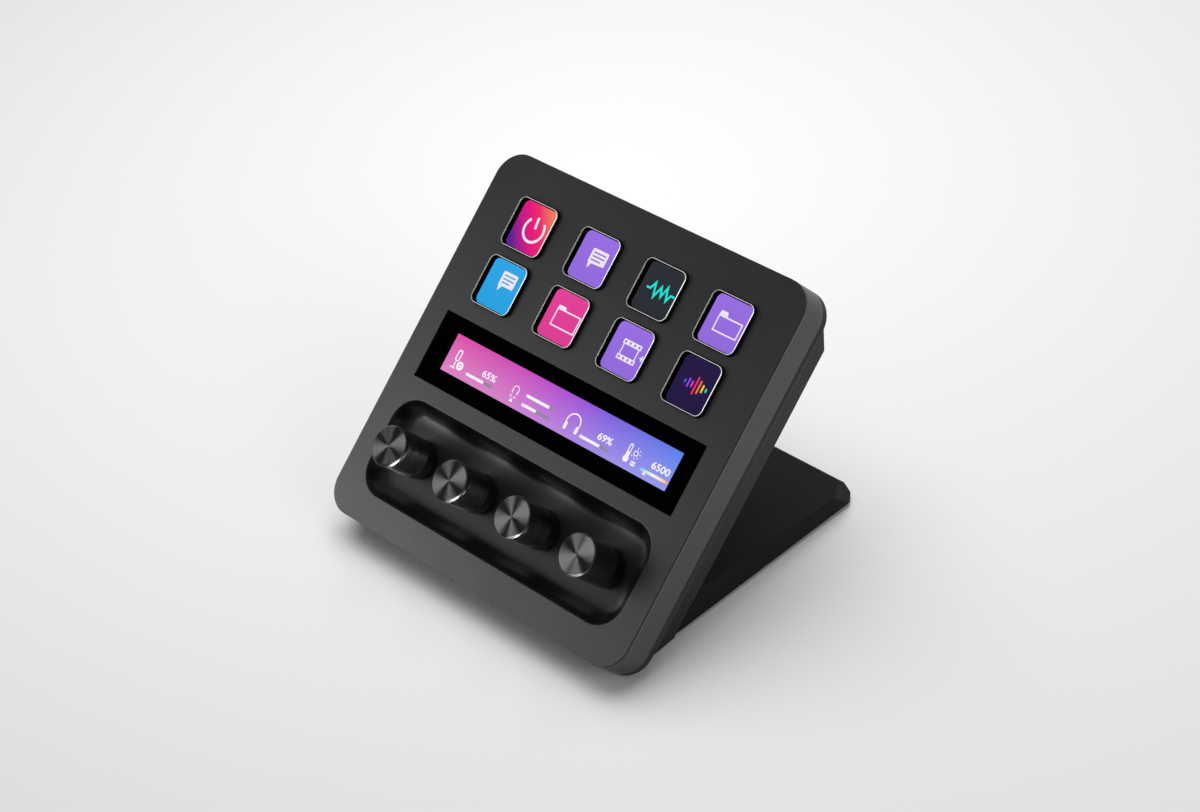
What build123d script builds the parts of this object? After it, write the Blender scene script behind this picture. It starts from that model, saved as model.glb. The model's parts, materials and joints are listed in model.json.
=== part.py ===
from build123d import *
import math
import os

os.makedirs("parts", exist_ok=True)

# Macro keypad with knobs, in millimetres and degrees.
# +Z is up, +Y goes back, and the desk is at Z = 0.
# Most pieces lie along the leaning face. There X goes across, Y goes up the face and
# the level goes out of it: a piece behind the face has a depth below level 0.

# ---- Driving dimensions: the case ----
face_width = 140.0
face_corner = 10.0
face_tilt = 41.0
front_edge_height = 11.3
top_margin = 12.765

plate_edge = 0.7
plate_thickness = 1.8
plate_step = 1.1
plate_fit = 0.1
parting_gap = 0.2
frame_depth = 11.3
frame_wall = 2.0
frame_chamfer = 0.4
pan_depth = 3.2
pan_rounding = 1.4
shell_wall = 2.0
lip_height = 2.0
lip_wall = 1.2
lip_fit = 0.15

block_depth = 30.0
block_side_margin = 7.0
block_draft = 4.4
block_margin = 1.8
block_chamfer = 0.5
upright_start = 15.12

# ---- Driving dimensions: the dial trough and the knobs ----
trough_side_margin = 9.25
trough_bottom = 10.5
trough_height = 35.6
trough_corner = 10.0
trough_depth = 5.5
trough_wall_radius = 8.0
trough_skin = 1.5
trough_rim_rounding = 0.4
trough_headroom = 1.0

knob_count = 4
knob_top = 13.25
knob_bottom = -4.2
knob_rim_radius = 7.25
knob_rim_height = 0.8
knob_rim_chamfer = 0.3
knob_rim_drop = 0.15
knob_neck_radius = 6.75
knob_neck_height = 0.5
knob_barrel_radius = 7.05
knob_skirt_radius = 6.85
knob_skirt_top = 0.3
knob_cap_radius = 6.85
knob_cap_thickness = 0.8
knob_cap_fit = 0.03
knob_travel = 0.5

shaft_radius = 3.0
shaft_flat = 1.5
shaft_grip = 12.0
shaft_round_length = 0.7
shaft_fit = 0.03
encoder_side = 12.0
encoder_height = 6.5
encoder_chamfer = 0.8
encoder_floor = 0.5
encoder_gap = 0.4
bushing_radius = 3.5
bushing_height = 1.8
plunger_height = 1.3
running_clearance = 0.05

# ---- Driving dimensions: the keys ----
key_columns = 4
key_rows = 2
key_side_margin = 25.21
key_pitch_y = 21.8
key_band_gap = 6.315
key_side = 17.87
key_corner = 2.6
key_top = 1.47
key_rounding = 0.45
key_travel = 1.2
key_stop_gap = 0.1
key_gap = 0.3
lens_cap_height = 0.6
lens_thickness = 3.0
lens_fit = 0.03
carrier_wall = 0.5
carrier_depth = 1.3
flange_reach = 0.8
flange_height = 0.4
flange_fit = 0.15
pocket_roof = 0.85

# ---- Driving dimensions: glass and displays ----
glass_side_margin = 9.3
glass_band_gap = 6.35
glass_height = 24.8
glass_thickness = 1.1
glass_fit = 0.08
strip_panel_side_margin = 2.7
strip_panel_end_margin = 2.4
strip_panel_thickness = 1.5
gasket_wall = 4.0
key_panel_border = 4.0
key_panel_thickness = 1.6
sheet_thickness = 0.25
window_width = 20.4
window_height = 17.3
window_corner = 1.5

# ---- Driving dimensions: chassis, boards and screws ----
chassis_thickness = 1.5
chassis_fit = 0.25
chassis_cutout_margin = 0.4
ledge_width = 5.5
ledge_thickness = 1.5
lobe_radius = 3.0
post_radius = 2.5
post_inset = 6.0
post_end_margin = 6.8
boss_radius = 2.4
board_thickness = 1.6
board_post_gap = 1.2
board_trough_gap = 6.9
board_top_margin = 9.0
board_screw_inset = 4.5
encoder_board_margin = 11.2
encoder_board_height = 28.0
encoder_boss_spread = 19.0
chip_height = 1.2
connector_height = 1.0
flex_thickness = 0.2
flex_width = 16.0
flex_slot_margin = 1.0
flex_gap = 0.6
flex_landing = 3.0
flex_lead = 1.5
port_flex_width = 8.0
board_corner = 1.5
pedestal_inset = 2.0
pedestal_height = 0.9
standoff_height = 1.8
connector_length = 3.0
connector_margin = 1.0
processor_side = 14.0
memory_side = 9.0
driver_side = 5.0
driver_pitch = 12.0
driver_count = 4
processor_x = -22.0
memory_x = 4.0
chip_rise = 7.0
driver_drop = 18.0

small_screw_radius = 1.0
small_head_radius = 1.9
encoder_screw_grip = 4.0
small_head_height = 1.1
screw_radius = 1.5
screw_head_radius = 2.7
screw_head_height = 1.7
drive_radius = 0.8
drive_depth = 0.7
hole_clearance = 0.2
thread_clearance = 0.04
thread_end = 0.5

case_screw_side_margin = 6.0
case_screw_trough_gap = 3.9
case_screw_top_margin = 24.0
case_post_radius = 3.8
case_boss_depth = 13.0
case_seat_depth = 18.0
case_screw_reach = 10.0

# ---- Driving dimensions: the port ----
port_width = 8.94
port_thickness = 3.26
port_length = 7.3
port_skin = 0.35
port_tongue_width = 6.7
port_tongue = 0.7
port_back_wall = 0.9
port_tongue_setback = 0.5
port_fit = 0.15
recess_width = 13.2
recess_height = 7.6
recess_corner = 2.5
recess_depth = 5.0
recess_wall = 1.2
port_board_width = 20.0
port_board_length = 12.0
port_board_thickness = 1.0
shelf_width = 3.5
shelf_thickness = 2.0

# ---- Driving dimensions: the stand ----
stand_clearance = 0.6
stand_reach = 10.8
stand_joint_height = 12.2
stand_slope = 4.2
stand_rear_bevel = 2.6
stand_bottom_chamfer = 1.0
stand_edge_chamfer = 0.35
stand_wall = 2.0
stand_front_wall = 3.5
stand_side_wall = 5.0
stand_rear_wall = 8.0
corner_cut_heading = 40.0
corner_cut_rise = 36.0
corner_cut_height = 1.6
corner_cut_setback = 4.6
cover_thickness = 1.6
cover_lap = 2.0
cover_fit = 0.2
ballast_thickness = 2.2
ballast_side_gap = 9.0
ballast_end_gap = 6.0
pad_thickness = 1.2
pad_side_margin = 10.5
pad_end_margin = 9.0
pad_corner = 4.0
pad_fit = 0.2
cover_screw_side_margin = 4.0
cover_screw_end_margin = 12.0
cover_screw_reach = 3.6
front_pad_side_margin = 13.0
front_pad_end_margin = 4.8
stand_screw_height = 8.3
stand_screw_spread = 30.0
stand_screw_count = 4
stand_screw_reach = 4.0
stand_boss_radius = 3.0
stand_boss_reach = 5.0

# ---- Derived places: the face from the trough at its foot to the keys at its top ----
tilt_sin = math.sin(math.radians(face_tilt))
tilt_cos = math.cos(math.radians(face_tilt))
trough_top = trough_bottom + trough_height
glass_bottom = trough_top + glass_band_gap
keys_bottom = glass_bottom + glass_height + key_band_gap
key_row_low = keys_bottom + key_side / 2
key_row_high = key_row_low + key_pitch_y * (key_rows - 1)
face_height = key_row_high + key_side / 2 + top_margin
key_pitch_x = (face_width - 2 * key_side_margin) / (key_columns - 1)
knob_pitch = key_pitch_x
trough_width = face_width - 2 * trough_side_margin
glass_width = face_width - 2 * glass_side_margin
block_half_width = face_width / 2 - block_side_margin
block_top = face_height - block_margin

# ---- Derived places: the side view ----
upright_run = block_top * tilt_cos + upright_start * tilt_sin
overall_depth = upright_run + stand_reach
front_y = -overall_depth / 2
rear_y = overall_depth / 2
upright_y = front_y + upright_run
face = Plane(
    origin=(0, front_y, front_edge_height),
    x_dir=(1, 0, 0),
    z_dir=(0, -tilt_sin, tilt_cos),
)
outward = Axis(face.origin, face.z_dir)
face_middle = face_height / 2
trough_middle = trough_bottom + trough_height / 2
knob_row = trough_middle
glass_middle = glass_bottom + glass_height / 2
keys_middle = (key_row_low + key_row_high) / 2
strip_panel_width = glass_width - 2 * strip_panel_side_margin
strip_panel_height = glass_height - 2 * strip_panel_end_margin
key_panel_width = 2 * key_panel_border + window_width + key_pitch_x * (key_columns - 1)
key_panel_height = 2 * key_panel_border + window_height + key_pitch_y * (key_rows - 1)
case_screw_x = block_half_width - case_screw_side_margin
main_board_width = 2 * (case_screw_x - case_post_radius - board_post_gap)
main_board_bottom = trough_top + board_trough_gap
main_board_height = face_height - board_top_margin - main_board_bottom
main_board_middle = main_board_bottom + main_board_height / 2
encoder_board_width = 2 * encoder_board_margin + knob_pitch * (knob_count - 1)

frame_front = plate_edge + parting_gap
shell_front = frame_depth + parting_gap
pan_back = shell_front + pan_depth
mat_front = carrier_depth + key_travel + key_stop_gap
sheet_front = mat_front + sheet_thickness
key_panel_depth = sheet_front + sheet_thickness
chassis_front = key_panel_depth + key_panel_thickness
chassis_back = chassis_front + chassis_thickness
main_board_depth = chassis_back + standoff_height
ledge_back = chassis_back + ledge_thickness
strip_panel_back = chassis_front - pedestal_height
strip_panel_depth = strip_panel_back - strip_panel_thickness
main_board_back = main_board_depth + board_thickness
trough_back = trough_depth + trough_skin
trough_above = trough_wall_radius - trough_depth
trough_run_out = trough_wall_radius - math.sqrt(trough_wall_radius**2 - trough_above**2)
encoder_front = trough_back + encoder_gap
encoder_board_front = encoder_front + encoder_height
encoder_board_back = encoder_board_front + board_thickness
encoder_bore_end = encoder_board_front - encoder_floor
plunger_back = encoder_bore_end - knob_travel - 2 * running_clearance
shaft_back = plunger_back - plunger_height
shaft_top = knob_bottom + shaft_grip
knob_rim_top = knob_top - knob_rim_drop
knob_rim_bottom = knob_rim_top - knob_rim_height
knob_neck_bottom = knob_rim_bottom - knob_neck_height
knob_cap_bottom = knob_top - knob_cap_thickness
lens_shoulder = key_top - lens_cap_height
lens_bottom = key_top - lens_thickness
plug_side = key_side - 2 * carrier_wall
flange_side = key_side + 2 * flange_reach
ledge_inset = frame_wall + ledge_width
chassis_inset = frame_wall + chassis_fit
flex_slot_low = glass_middle + strip_panel_height / 2 + flex_gap
flex_slot_high = keys_middle - key_panel_height / 2 - flex_gap
flat_start = encoder_front - bushing_height - shaft_round_length
lip_outside = frame_wall + lip_fit
lip_inside = lip_outside + lip_wall
recess_back = recess_depth + recess_wall
port_board_back_y = upright_y - recess_back
port_board_front_y = port_board_back_y - port_board_length
chassis_screw_reach = ledge_back - plate_thickness - thread_end
board_screw_reach = main_board_back - chassis_front - thread_end
encoder_screw_reach = board_thickness + encoder_screw_grip
case_boss_end = case_seat_depth - case_screw_reach - thread_end
tub_radius = trough_wall_radius + trough_skin
tub_rise = tub_radius - (trough_back - chassis_front)
tub_grow = trough_run_out + trough_skin - tub_radius + math.sqrt(tub_radius**2 - tub_rise**2)
cutout_grow = tub_grow + chassis_cutout_margin
stand_floor = stand_clearance
cover_top = stand_floor + cover_thickness
pad_recess = pad_thickness - stand_clearance
cover_seat = stand_floor + small_head_height

knob_places = [
    ((column - (knob_count - 1) / 2) * knob_pitch, knob_row)
    for column in range(knob_count)
]
key_places = [
    ((column - (key_columns - 1) / 2) * key_pitch_x, key_row_low + row * key_pitch_y)
    for row in reversed(range(key_rows))
    for column in range(key_columns)
]
post_x = face_width / 2 - post_inset
post_ups = (
    post_end_margin,
    trough_top + glass_band_gap / 2,
    keys_bottom,
    face_height - post_end_margin,
)
post_places = [(side * post_x, up) for side in (-1, 1) for up in post_ups]
case_screw_places = [
    (side * case_screw_x, up)
    for side in (-1, 1)
    for up in (trough_top + case_screw_trough_gap, face_height - case_screw_top_margin)
]
board_screw_places = [
    (
        side * (main_board_width / 2 - board_screw_inset),
        main_board_middle + end * (main_board_height / 2 - board_screw_inset),
    )
    for side in (-1, 1)
    for end in (-1, 1)
]
encoder_screw_places = [
    (side * knob_pitch, knob_row + end * encoder_boss_spread / 2)
    for side in (-1, 1)
    for end in (-1, 1)
]


# ---- Places in the side view, as (Y, Z) ----
def on_side(up, level):
    """The point at a distance up the face and a level out of it."""
    return (
        front_y + up * tilt_cos - level * tilt_sin,
        front_edge_height + up * tilt_sin + level * tilt_cos,
    )


def up_at_height(level, height):
    """How far up the face a level reaches a given height over the desk."""
    return (height - front_edge_height - level * tilt_cos) / tilt_sin


def up_at_y(level, y):
    """How far up the face a level reaches a given Y."""
    return (y - front_y + level * tilt_sin) / tilt_cos


def level_at_height(up, height):
    """The level at which a distance up the face reaches a given height."""
    return (height - front_edge_height - up * tilt_sin) / tilt_cos


def level_at_y(up, y):
    """The level at which a distance up the face reaches a given Y."""
    return (front_y + up * tilt_cos - y) / tilt_sin


def plane_y(depth, height):
    """The Y at which a depth behind the face reaches a given height."""
    return on_side(up_at_height(-depth, height), -depth)[0]


# The port is in the middle of the upright wall, and its board lies behind it.
upright_foot = on_side(up_at_y(-block_depth, upright_y), -block_depth)[1]
upright_head = on_side(block_top, -upright_start)[1]
port_height = (upright_foot + upright_head) / 2
port_board_top = port_height - port_thickness / 2
port_board_bottom = port_board_top - port_board_thickness

# The front pad is in the block's level foot.
foot_front_y = on_side(block_margin, level_at_height(block_margin, stand_clearance))[0]
foot_back_y = plane_y(block_depth, stand_clearance)
front_pad_y = (foot_front_y + foot_back_y) / 2
front_pad_length = foot_back_y - foot_front_y - 2 * front_pad_end_margin
front_pad_corner = front_pad_length / 4
front_pad_width = 2 * (block_half_width - front_pad_side_margin)

stand_screw_up = up_at_height(-block_depth, stand_screw_height)
stand_screw_places = [
    ((column - (stand_screw_count - 1) / 2) * stand_screw_spread, stand_screw_up)
    for column in range(stand_screw_count)
]


# ---- Shared forms ----
def face_outline(inset, mode=Mode.ADD):
    """The face's rounded outline on the sketch in hand, shrunk inward."""
    with Locations((0, face_middle)):
        RectangleRounded(
            face_width - 2 * inset, face_height - 2 * inset, face_corner - inset, mode=mode
        )


def trough_outline(grow, mode=Mode.ADD):
    """The trough's rounded outline on the sketch in hand, grown outward."""
    with Locations((0, trough_middle)):
        RectangleRounded(
            trough_width + 2 * grow, trough_height + 2 * grow, trough_corner + grow, mode=mode
        )


def trough_form(grow):
    """The trough's hollow as a solid, grown outward all round by a skin."""
    rise = trough_above + trough_headroom
    with BuildPart() as form:
        with BuildSketch(face.offset(rise)):
            trough_outline(trough_run_out + grow)
        extrude(amount=-(rise + trough_depth + grow))
        fillet(form.faces().sort_by(outward)[0].edges(), trough_wall_radius + grow)
    return form.part


def block_form(inset, front_depth):
    """The rear block from a depth behind the face to its back, shrunk by a wall."""
    low = block_margin + inset
    high = block_top - inset
    back = inset - block_depth
    floor = stand_clearance + inset
    upright = upright_y - inset
    lean = math.radians(block_draft)
    with BuildPart() as form:
        with BuildSketch(Plane.YZ):
            with BuildLine():
                Polyline(
                    on_side(low, -front_depth),
                    on_side(low, level_at_height(low, floor)),
                    on_side(up_at_height(back, floor), back),
                    on_side(up_at_y(back, upright), back),
                    on_side(high, level_at_y(high, upright)),
                    on_side(high, -front_depth),
                    close=True,
                )
            make_face()
        extrude(amount=face_width / 2, both=True)
        for side in (-1, 1):
            foot = face.from_local_coords((side * (block_half_width - inset), face_middle, back))
            outside = (
                side * math.cos(lean),
                math.sin(lean) * tilt_sin,
                -math.sin(lean) * tilt_cos,
            )
            split(bisect_by=Plane(origin=foot, z_dir=outside), keep=Keep.BOTTOM)
    return form.part


def screw_set(seat, places, radius, reach, head_radius, head_height, way=1):
    """Screws that pass a seat plane: shanks on its front side, or behind it if way is -1."""
    with BuildPart() as screws:
        with BuildSketch(seat):
            with Locations(*places):
                Circle(radius)
        extrude(amount=way * reach)
        with BuildSketch(seat):
            with Locations(*places):
                Circle(head_radius)
        extrude(amount=-way * head_height)
        with BuildSketch(seat.offset(-way * head_height)):
            with Locations(*places):
                RegularPolygon(drive_radius, 6)
        extrude(amount=way * drive_depth, mode=Mode.SUBTRACT)
    return screws.part


def small_screws(seat, places, reach):
    """Small screws with their heads behind a seat plane."""
    return screw_set(seat, places, small_screw_radius, reach, small_head_radius, small_head_height)


# ---- Face plate: key windows, strip window and dial trough in one moulding ----
with BuildPart() as face_plate:
    with BuildSketch(face):
        face_outline(0)
    extrude(amount=-plate_edge)
    with BuildSketch(face.offset(-plate_edge)):
        face_outline(plate_step)
    extrude(amount=-(plate_thickness - plate_edge))
    add(trough_form(trough_skin))
    with BuildSketch(face):
        with Locations((0, face_middle)):
            Rectangle(face_width, face_height)
    extrude(amount=trough_wall_radius, mode=Mode.SUBTRACT)
    add(trough_form(0), mode=Mode.SUBTRACT)
    trough_rim = face_plate.faces().sort_by(outward)[-1].inner_wires()[0]
    fillet(trough_rim.edges(), trough_rim_rounding)
    # Posts for the chassis screws, and bosses under the trough for the encoder board.
    with BuildSketch(face.offset(-plate_edge)):
        with Locations(*post_places):
            Circle(post_radius)
    extrude(amount=-(chassis_front - plate_edge))
    with BuildSketch(face.offset(-(trough_back - trough_skin / 2))):
        with Locations(*encoder_screw_places):
            Circle(post_radius)
    extrude(amount=-(encoder_board_front - trough_back + trough_skin / 2))
    with BuildSketch(face.offset(-chassis_front)):
        with Locations(*post_places):
            Circle(small_screw_radius + thread_clearance)
    extrude(amount=chassis_front - plate_thickness, mode=Mode.SUBTRACT)
    with BuildSketch(face.offset(-encoder_board_front)):
        with Locations(*encoder_screw_places):
            Circle(small_screw_radius + thread_clearance)
    extrude(amount=encoder_board_front - trough_back - thread_end, mode=Mode.SUBTRACT)
    # The strip's window, the key windows with their flange pockets, and the knob holes.
    with BuildSketch(face):
        with Locations((0, glass_middle)):
            Rectangle(glass_width + 2 * glass_fit, glass_height + 2 * glass_fit)
        with Locations(*key_places):
            RectangleRounded(key_side + 2 * key_gap, key_side + 2 * key_gap, key_corner + key_gap)
    extrude(amount=-plate_thickness, mode=Mode.SUBTRACT)
    with BuildSketch(face.offset(-plate_thickness)):
        with Locations(*key_places):
            RectangleRounded(
                flange_side + 2 * flange_fit,
                flange_side + 2 * flange_fit,
                key_corner + flange_reach + flange_fit,
            )
    extrude(amount=plate_thickness - pocket_roof, mode=Mode.SUBTRACT)
    with BuildSketch(face.offset(-trough_back)):
        with Locations(*knob_places):
            Circle(bushing_radius + hole_clearance)
    extrude(amount=2 * trough_skin, mode=Mode.SUBTRACT)
face_plate.part.label = "face_plate"
export_step(face_plate.part, "parts/face_plate.step")

# ---- Side frame: the band round the case, with an inner ledge for the chassis ----
with BuildPart() as side_frame:
    with BuildSketch(face.offset(-frame_front)):
        face_outline(0)
    extrude(amount=-(frame_depth - frame_front))
    chamfer(side_frame.faces().sort_by(outward)[-1].edges(), frame_chamfer)
    with BuildSketch(face.offset(-frame_front)):
        face_outline(frame_wall)
    extrude(amount=-(frame_depth - frame_front), mode=Mode.SUBTRACT)
    with BuildSketch(face.offset(-frame_front)):
        face_outline(plate_step - plate_fit)
    extrude(amount=-(plate_thickness - frame_front), mode=Mode.SUBTRACT)
    with BuildSketch(face.offset(-chassis_back)):
        face_outline(frame_wall / 2)
        with Locations((0, face_middle)):
            Rectangle(
                face_width - 2 * ledge_inset,
                face_height - 2 * ledge_inset,
                mode=Mode.SUBTRACT,
            )
        with Locations(*post_places):
            Circle(lobe_radius)
        with Locations(*post_places):
            Circle(small_screw_radius + hole_clearance, mode=Mode.SUBTRACT)
    extrude(amount=-ledge_thickness)
side_frame.part.label = "side_frame"
export_step(side_frame.part, "parts/side_frame.step")

# ---- Rear shell: a shallow pan with the deeper block and the port's recess ----
port_face = Plane(origin=(0, upright_y, port_height), x_dir=(1, 0, 0), z_dir=(0, 1, 0))
with BuildPart() as rear_shell:
    with BuildSketch(face.offset(-shell_front)):
        face_outline(0)
    extrude(amount=-pan_depth)
    fillet(rear_shell.faces().sort_by(outward)[0].edges(), pan_rounding)
    add(block_form(0, pan_back - pan_rounding / 2))
    chamfer(rear_shell.faces().sort_by(outward)[0].edges(), block_chamfer)
    with BuildSketch(face.offset(-shell_front)):
        face_outline(frame_wall)
    extrude(amount=-(pan_depth - shell_wall), mode=Mode.SUBTRACT)
    add(block_form(shell_wall, shell_front - parting_gap), mode=Mode.SUBTRACT)
    with BuildSketch(face.offset(lip_height - shell_front)):
        face_outline(lip_outside)
        face_outline(lip_inside, mode=Mode.SUBTRACT)
    extrude(amount=-(lip_height + pan_depth - shell_wall / 2))
    # Posts for the case screws, open at the back for their heads.
    with BuildSketch(face.offset(-case_boss_depth)):
        with Locations(*case_screw_places):
            Circle(case_post_radius)
    extrude(amount=-(block_depth - shell_wall / 2 - case_boss_depth))
    with BuildSketch(face.offset(-case_boss_depth)):
        with Locations(*case_screw_places):
            Circle(screw_radius + hole_clearance)
    extrude(amount=-(block_depth - case_boss_depth), mode=Mode.SUBTRACT)
    with BuildSketch(face.offset(-case_seat_depth)):
        with Locations(*case_screw_places):
            Circle(screw_head_radius + hole_clearance)
    extrude(amount=-(block_depth - case_seat_depth), mode=Mode.SUBTRACT)
    with BuildSketch(face.offset(-block_depth)):
        with Locations(*stand_screw_places):
            Circle(screw_radius + hole_clearance)
    extrude(amount=shell_wall, mode=Mode.SUBTRACT)
    with BuildSketch(Plane.XY.offset(stand_floor)):
        with Locations((0, front_pad_y)):
            RectangleRounded(
                front_pad_width + 2 * pad_fit,
                front_pad_length + 2 * pad_fit,
                front_pad_corner + pad_fit,
            )
    extrude(amount=pad_recess, mode=Mode.SUBTRACT)
    # The plug's recess, the port's slot in its floor, and the shelves for the port board.
    with BuildSketch(port_face.offset(-shell_wall / 2)):
        Rectangle(recess_width + 2 * recess_wall, recess_height + 2 * recess_wall)
    extrude(amount=-(recess_back - shell_wall / 2))
    with BuildSketch(Plane.XY.offset(port_board_bottom)):
        for side in (-1, 1):
            shelf_x = side * (port_board_width - shelf_width) / 2
            with Locations((shelf_x, port_board_back_y + recess_wall / 2)):
                Rectangle(
                    shelf_width,
                    port_board_length + recess_wall,
                    align=(Align.CENTER, Align.MAX),
                )
    extrude(amount=-shelf_thickness)
    with BuildSketch(port_face):
        RectangleRounded(recess_width, recess_height, recess_corner)
    extrude(amount=-recess_depth, mode=Mode.SUBTRACT)
    with BuildSketch(port_face.offset(-recess_depth)):
        SlotOverall(port_width + 2 * port_fit, port_thickness + 2 * port_fit)
    extrude(amount=-recess_wall, mode=Mode.SUBTRACT)
rear_shell.part.label = "rear_shell"
export_step(rear_shell.part, "parts/rear_shell.step")

# ---- Chassis: the stiff plate that carries the displays and the boards ----
with BuildPart() as chassis:
    with BuildSketch(face.offset(-chassis_front)):
        face_outline(chassis_inset)
        trough_outline(cutout_grow, mode=Mode.SUBTRACT)
        with Locations((0, (flex_slot_low + flex_slot_high) / 2)):
            Rectangle(
                flex_width + 2 * flex_slot_margin,
                flex_slot_high - flex_slot_low,
                mode=Mode.SUBTRACT,
            )
    extrude(amount=-chassis_thickness)
    with BuildSketch(face.offset(-chassis_front)):
        with Locations((0, glass_middle)):
            Rectangle(
                strip_panel_width - 2 * pedestal_inset, strip_panel_height - 2 * pedestal_inset
            )
    extrude(amount=pedestal_height)
    with BuildSketch(face.offset(-chassis_back)):
        with Locations(*case_screw_places):
            Circle(case_post_radius)
    extrude(amount=-(case_boss_depth - chassis_back))
    with BuildSketch(face.offset(-chassis_back)):
        with Locations(*board_screw_places):
            Circle(boss_radius)
    extrude(amount=-standoff_height)
    with BuildSketch(face.offset(-case_boss_depth)):
        with Locations(*case_screw_places):
            Circle(screw_radius + thread_clearance)
    extrude(amount=case_boss_depth - case_boss_end, mode=Mode.SUBTRACT)
    with BuildSketch(face.offset(-main_board_depth)):
        with Locations(*board_screw_places):
            Circle(small_screw_radius + thread_clearance)
    extrude(amount=main_board_depth - chassis_front, mode=Mode.SUBTRACT)
    with BuildSketch(face.offset(-chassis_front)):
        with Locations(*post_places):
            Circle(small_screw_radius + hole_clearance)
    extrude(amount=-chassis_thickness, mode=Mode.SUBTRACT)
chassis.part.label = "chassis"
export_step(chassis.part, "parts/chassis.step")

# ---- The touch strip: glass, gasket and display ----
with BuildPart() as touch_glass:
    with BuildSketch(face):
        with Locations((0, glass_middle)):
            Rectangle(glass_width, glass_height)
    extrude(amount=-glass_thickness)
touch_glass.part.label = "touch_glass"
export_step(touch_glass.part, "parts/touch_glass.step")

with BuildPart() as strip_gasket:
    with BuildSketch(face.offset(-glass_thickness)):
        with Locations((0, glass_middle)):
            Rectangle(glass_width, glass_height)
            Rectangle(
                glass_width - 2 * gasket_wall, glass_height - 2 * gasket_wall, mode=Mode.SUBTRACT
            )
    extrude(amount=-(strip_panel_depth - glass_thickness))
strip_gasket.part.label = "strip_gasket"
export_step(strip_gasket.part, "parts/strip_gasket.step")

with BuildPart() as strip_display:
    with BuildSketch(face.offset(-strip_panel_depth)):
        with Locations((0, glass_middle)):
            Rectangle(strip_panel_width, strip_panel_height)
    extrude(amount=-strip_panel_thickness)
strip_display.part.label = "strip_display"
export_step(strip_display.part, "parts/strip_display.step")

# ---- Under the keys: one display, the contact sheet and the spring mat ----
with BuildPart() as key_display:
    with BuildSketch(face.offset(-key_panel_depth)):
        with Locations((0, keys_middle)):
            Rectangle(key_panel_width, key_panel_height)
    extrude(amount=-key_panel_thickness)
key_display.part.label = "key_display"
export_step(key_display.part, "parts/key_display.step")


def windowed_sheet(front_depth):
    """A thin sheet over the key display with a window for each key."""
    with BuildPart() as sheet:
        with BuildSketch(face.offset(-front_depth)):
            with Locations((0, keys_middle)):
                Rectangle(key_panel_width, key_panel_height)
            with Locations(*key_places):
                RectangleRounded(window_width, window_height, window_corner, mode=Mode.SUBTRACT)
        extrude(amount=-sheet_thickness)
    return sheet.part


contact_sheet = windowed_sheet(sheet_front)
contact_sheet.label = "contact_sheet"
export_step(contact_sheet, "parts/contact_sheet.step")

spring_mat = windowed_sheet(mat_front)
spring_mat.label = "spring_mat"
export_step(spring_mat, "parts/spring_mat.step")

# ---- Keys: a clear lens with a plug below, held in a thin black carrier ----
for number, place in enumerate(key_places, start=1):
    with BuildPart() as key_lens:
        with BuildSketch(face.offset(lens_shoulder)):
            with Locations(place):
                RectangleRounded(key_side, key_side, key_corner)
        extrude(amount=lens_cap_height)
        fillet(key_lens.faces().sort_by(outward)[-1].edges(), key_rounding)
        with BuildSketch(face.offset(lens_shoulder)):
            with Locations(place):
                RectangleRounded(
                    plug_side - 2 * lens_fit,
                    plug_side - 2 * lens_fit,
                    key_corner - carrier_wall - lens_fit,
                )
        extrude(amount=lens_bottom - lens_shoulder)
    key_lens.part.label = f"key_lens_{number}"
    export_step(key_lens.part, f"parts/key_lens_{number}.step")

    with BuildPart() as key_carrier:
        with BuildSketch(face.offset(lens_shoulder)):
            with Locations(place):
                RectangleRounded(key_side, key_side, key_corner)
        extrude(amount=-(lens_shoulder + carrier_depth))
        with BuildSketch(face.offset(-carrier_depth)):
            with Locations(place):
                RectangleRounded(flange_side, flange_side, key_corner + flange_reach)
        extrude(amount=flange_height)
        with BuildSketch(face.offset(lens_shoulder)):
            with Locations(place):
                RectangleRounded(plug_side, plug_side, key_corner - carrier_wall)
        extrude(amount=-(lens_shoulder + carrier_depth), mode=Mode.SUBTRACT)
    key_carrier.part.label = f"key_carrier_{number}"
    export_step(key_carrier.part, f"parts/key_carrier_{number}.step")


# ---- Knobs: knurled barrel and skirt, cut rim, inlaid cap, on a D-shaped shaft ----
def shaft_outline(place, grow):
    """The shaft's D-shaped outline on the sketch in hand, grown by a clearance."""
    with Locations(place):
        Circle(shaft_radius + grow)
        with Locations((0, shaft_radius - shaft_flat + grow)):
            Rectangle(
                2 * (shaft_radius + grow),
                2 * shaft_radius,
                align=(Align.CENTER, Align.MIN),
                mode=Mode.SUBTRACT,
            )


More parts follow.
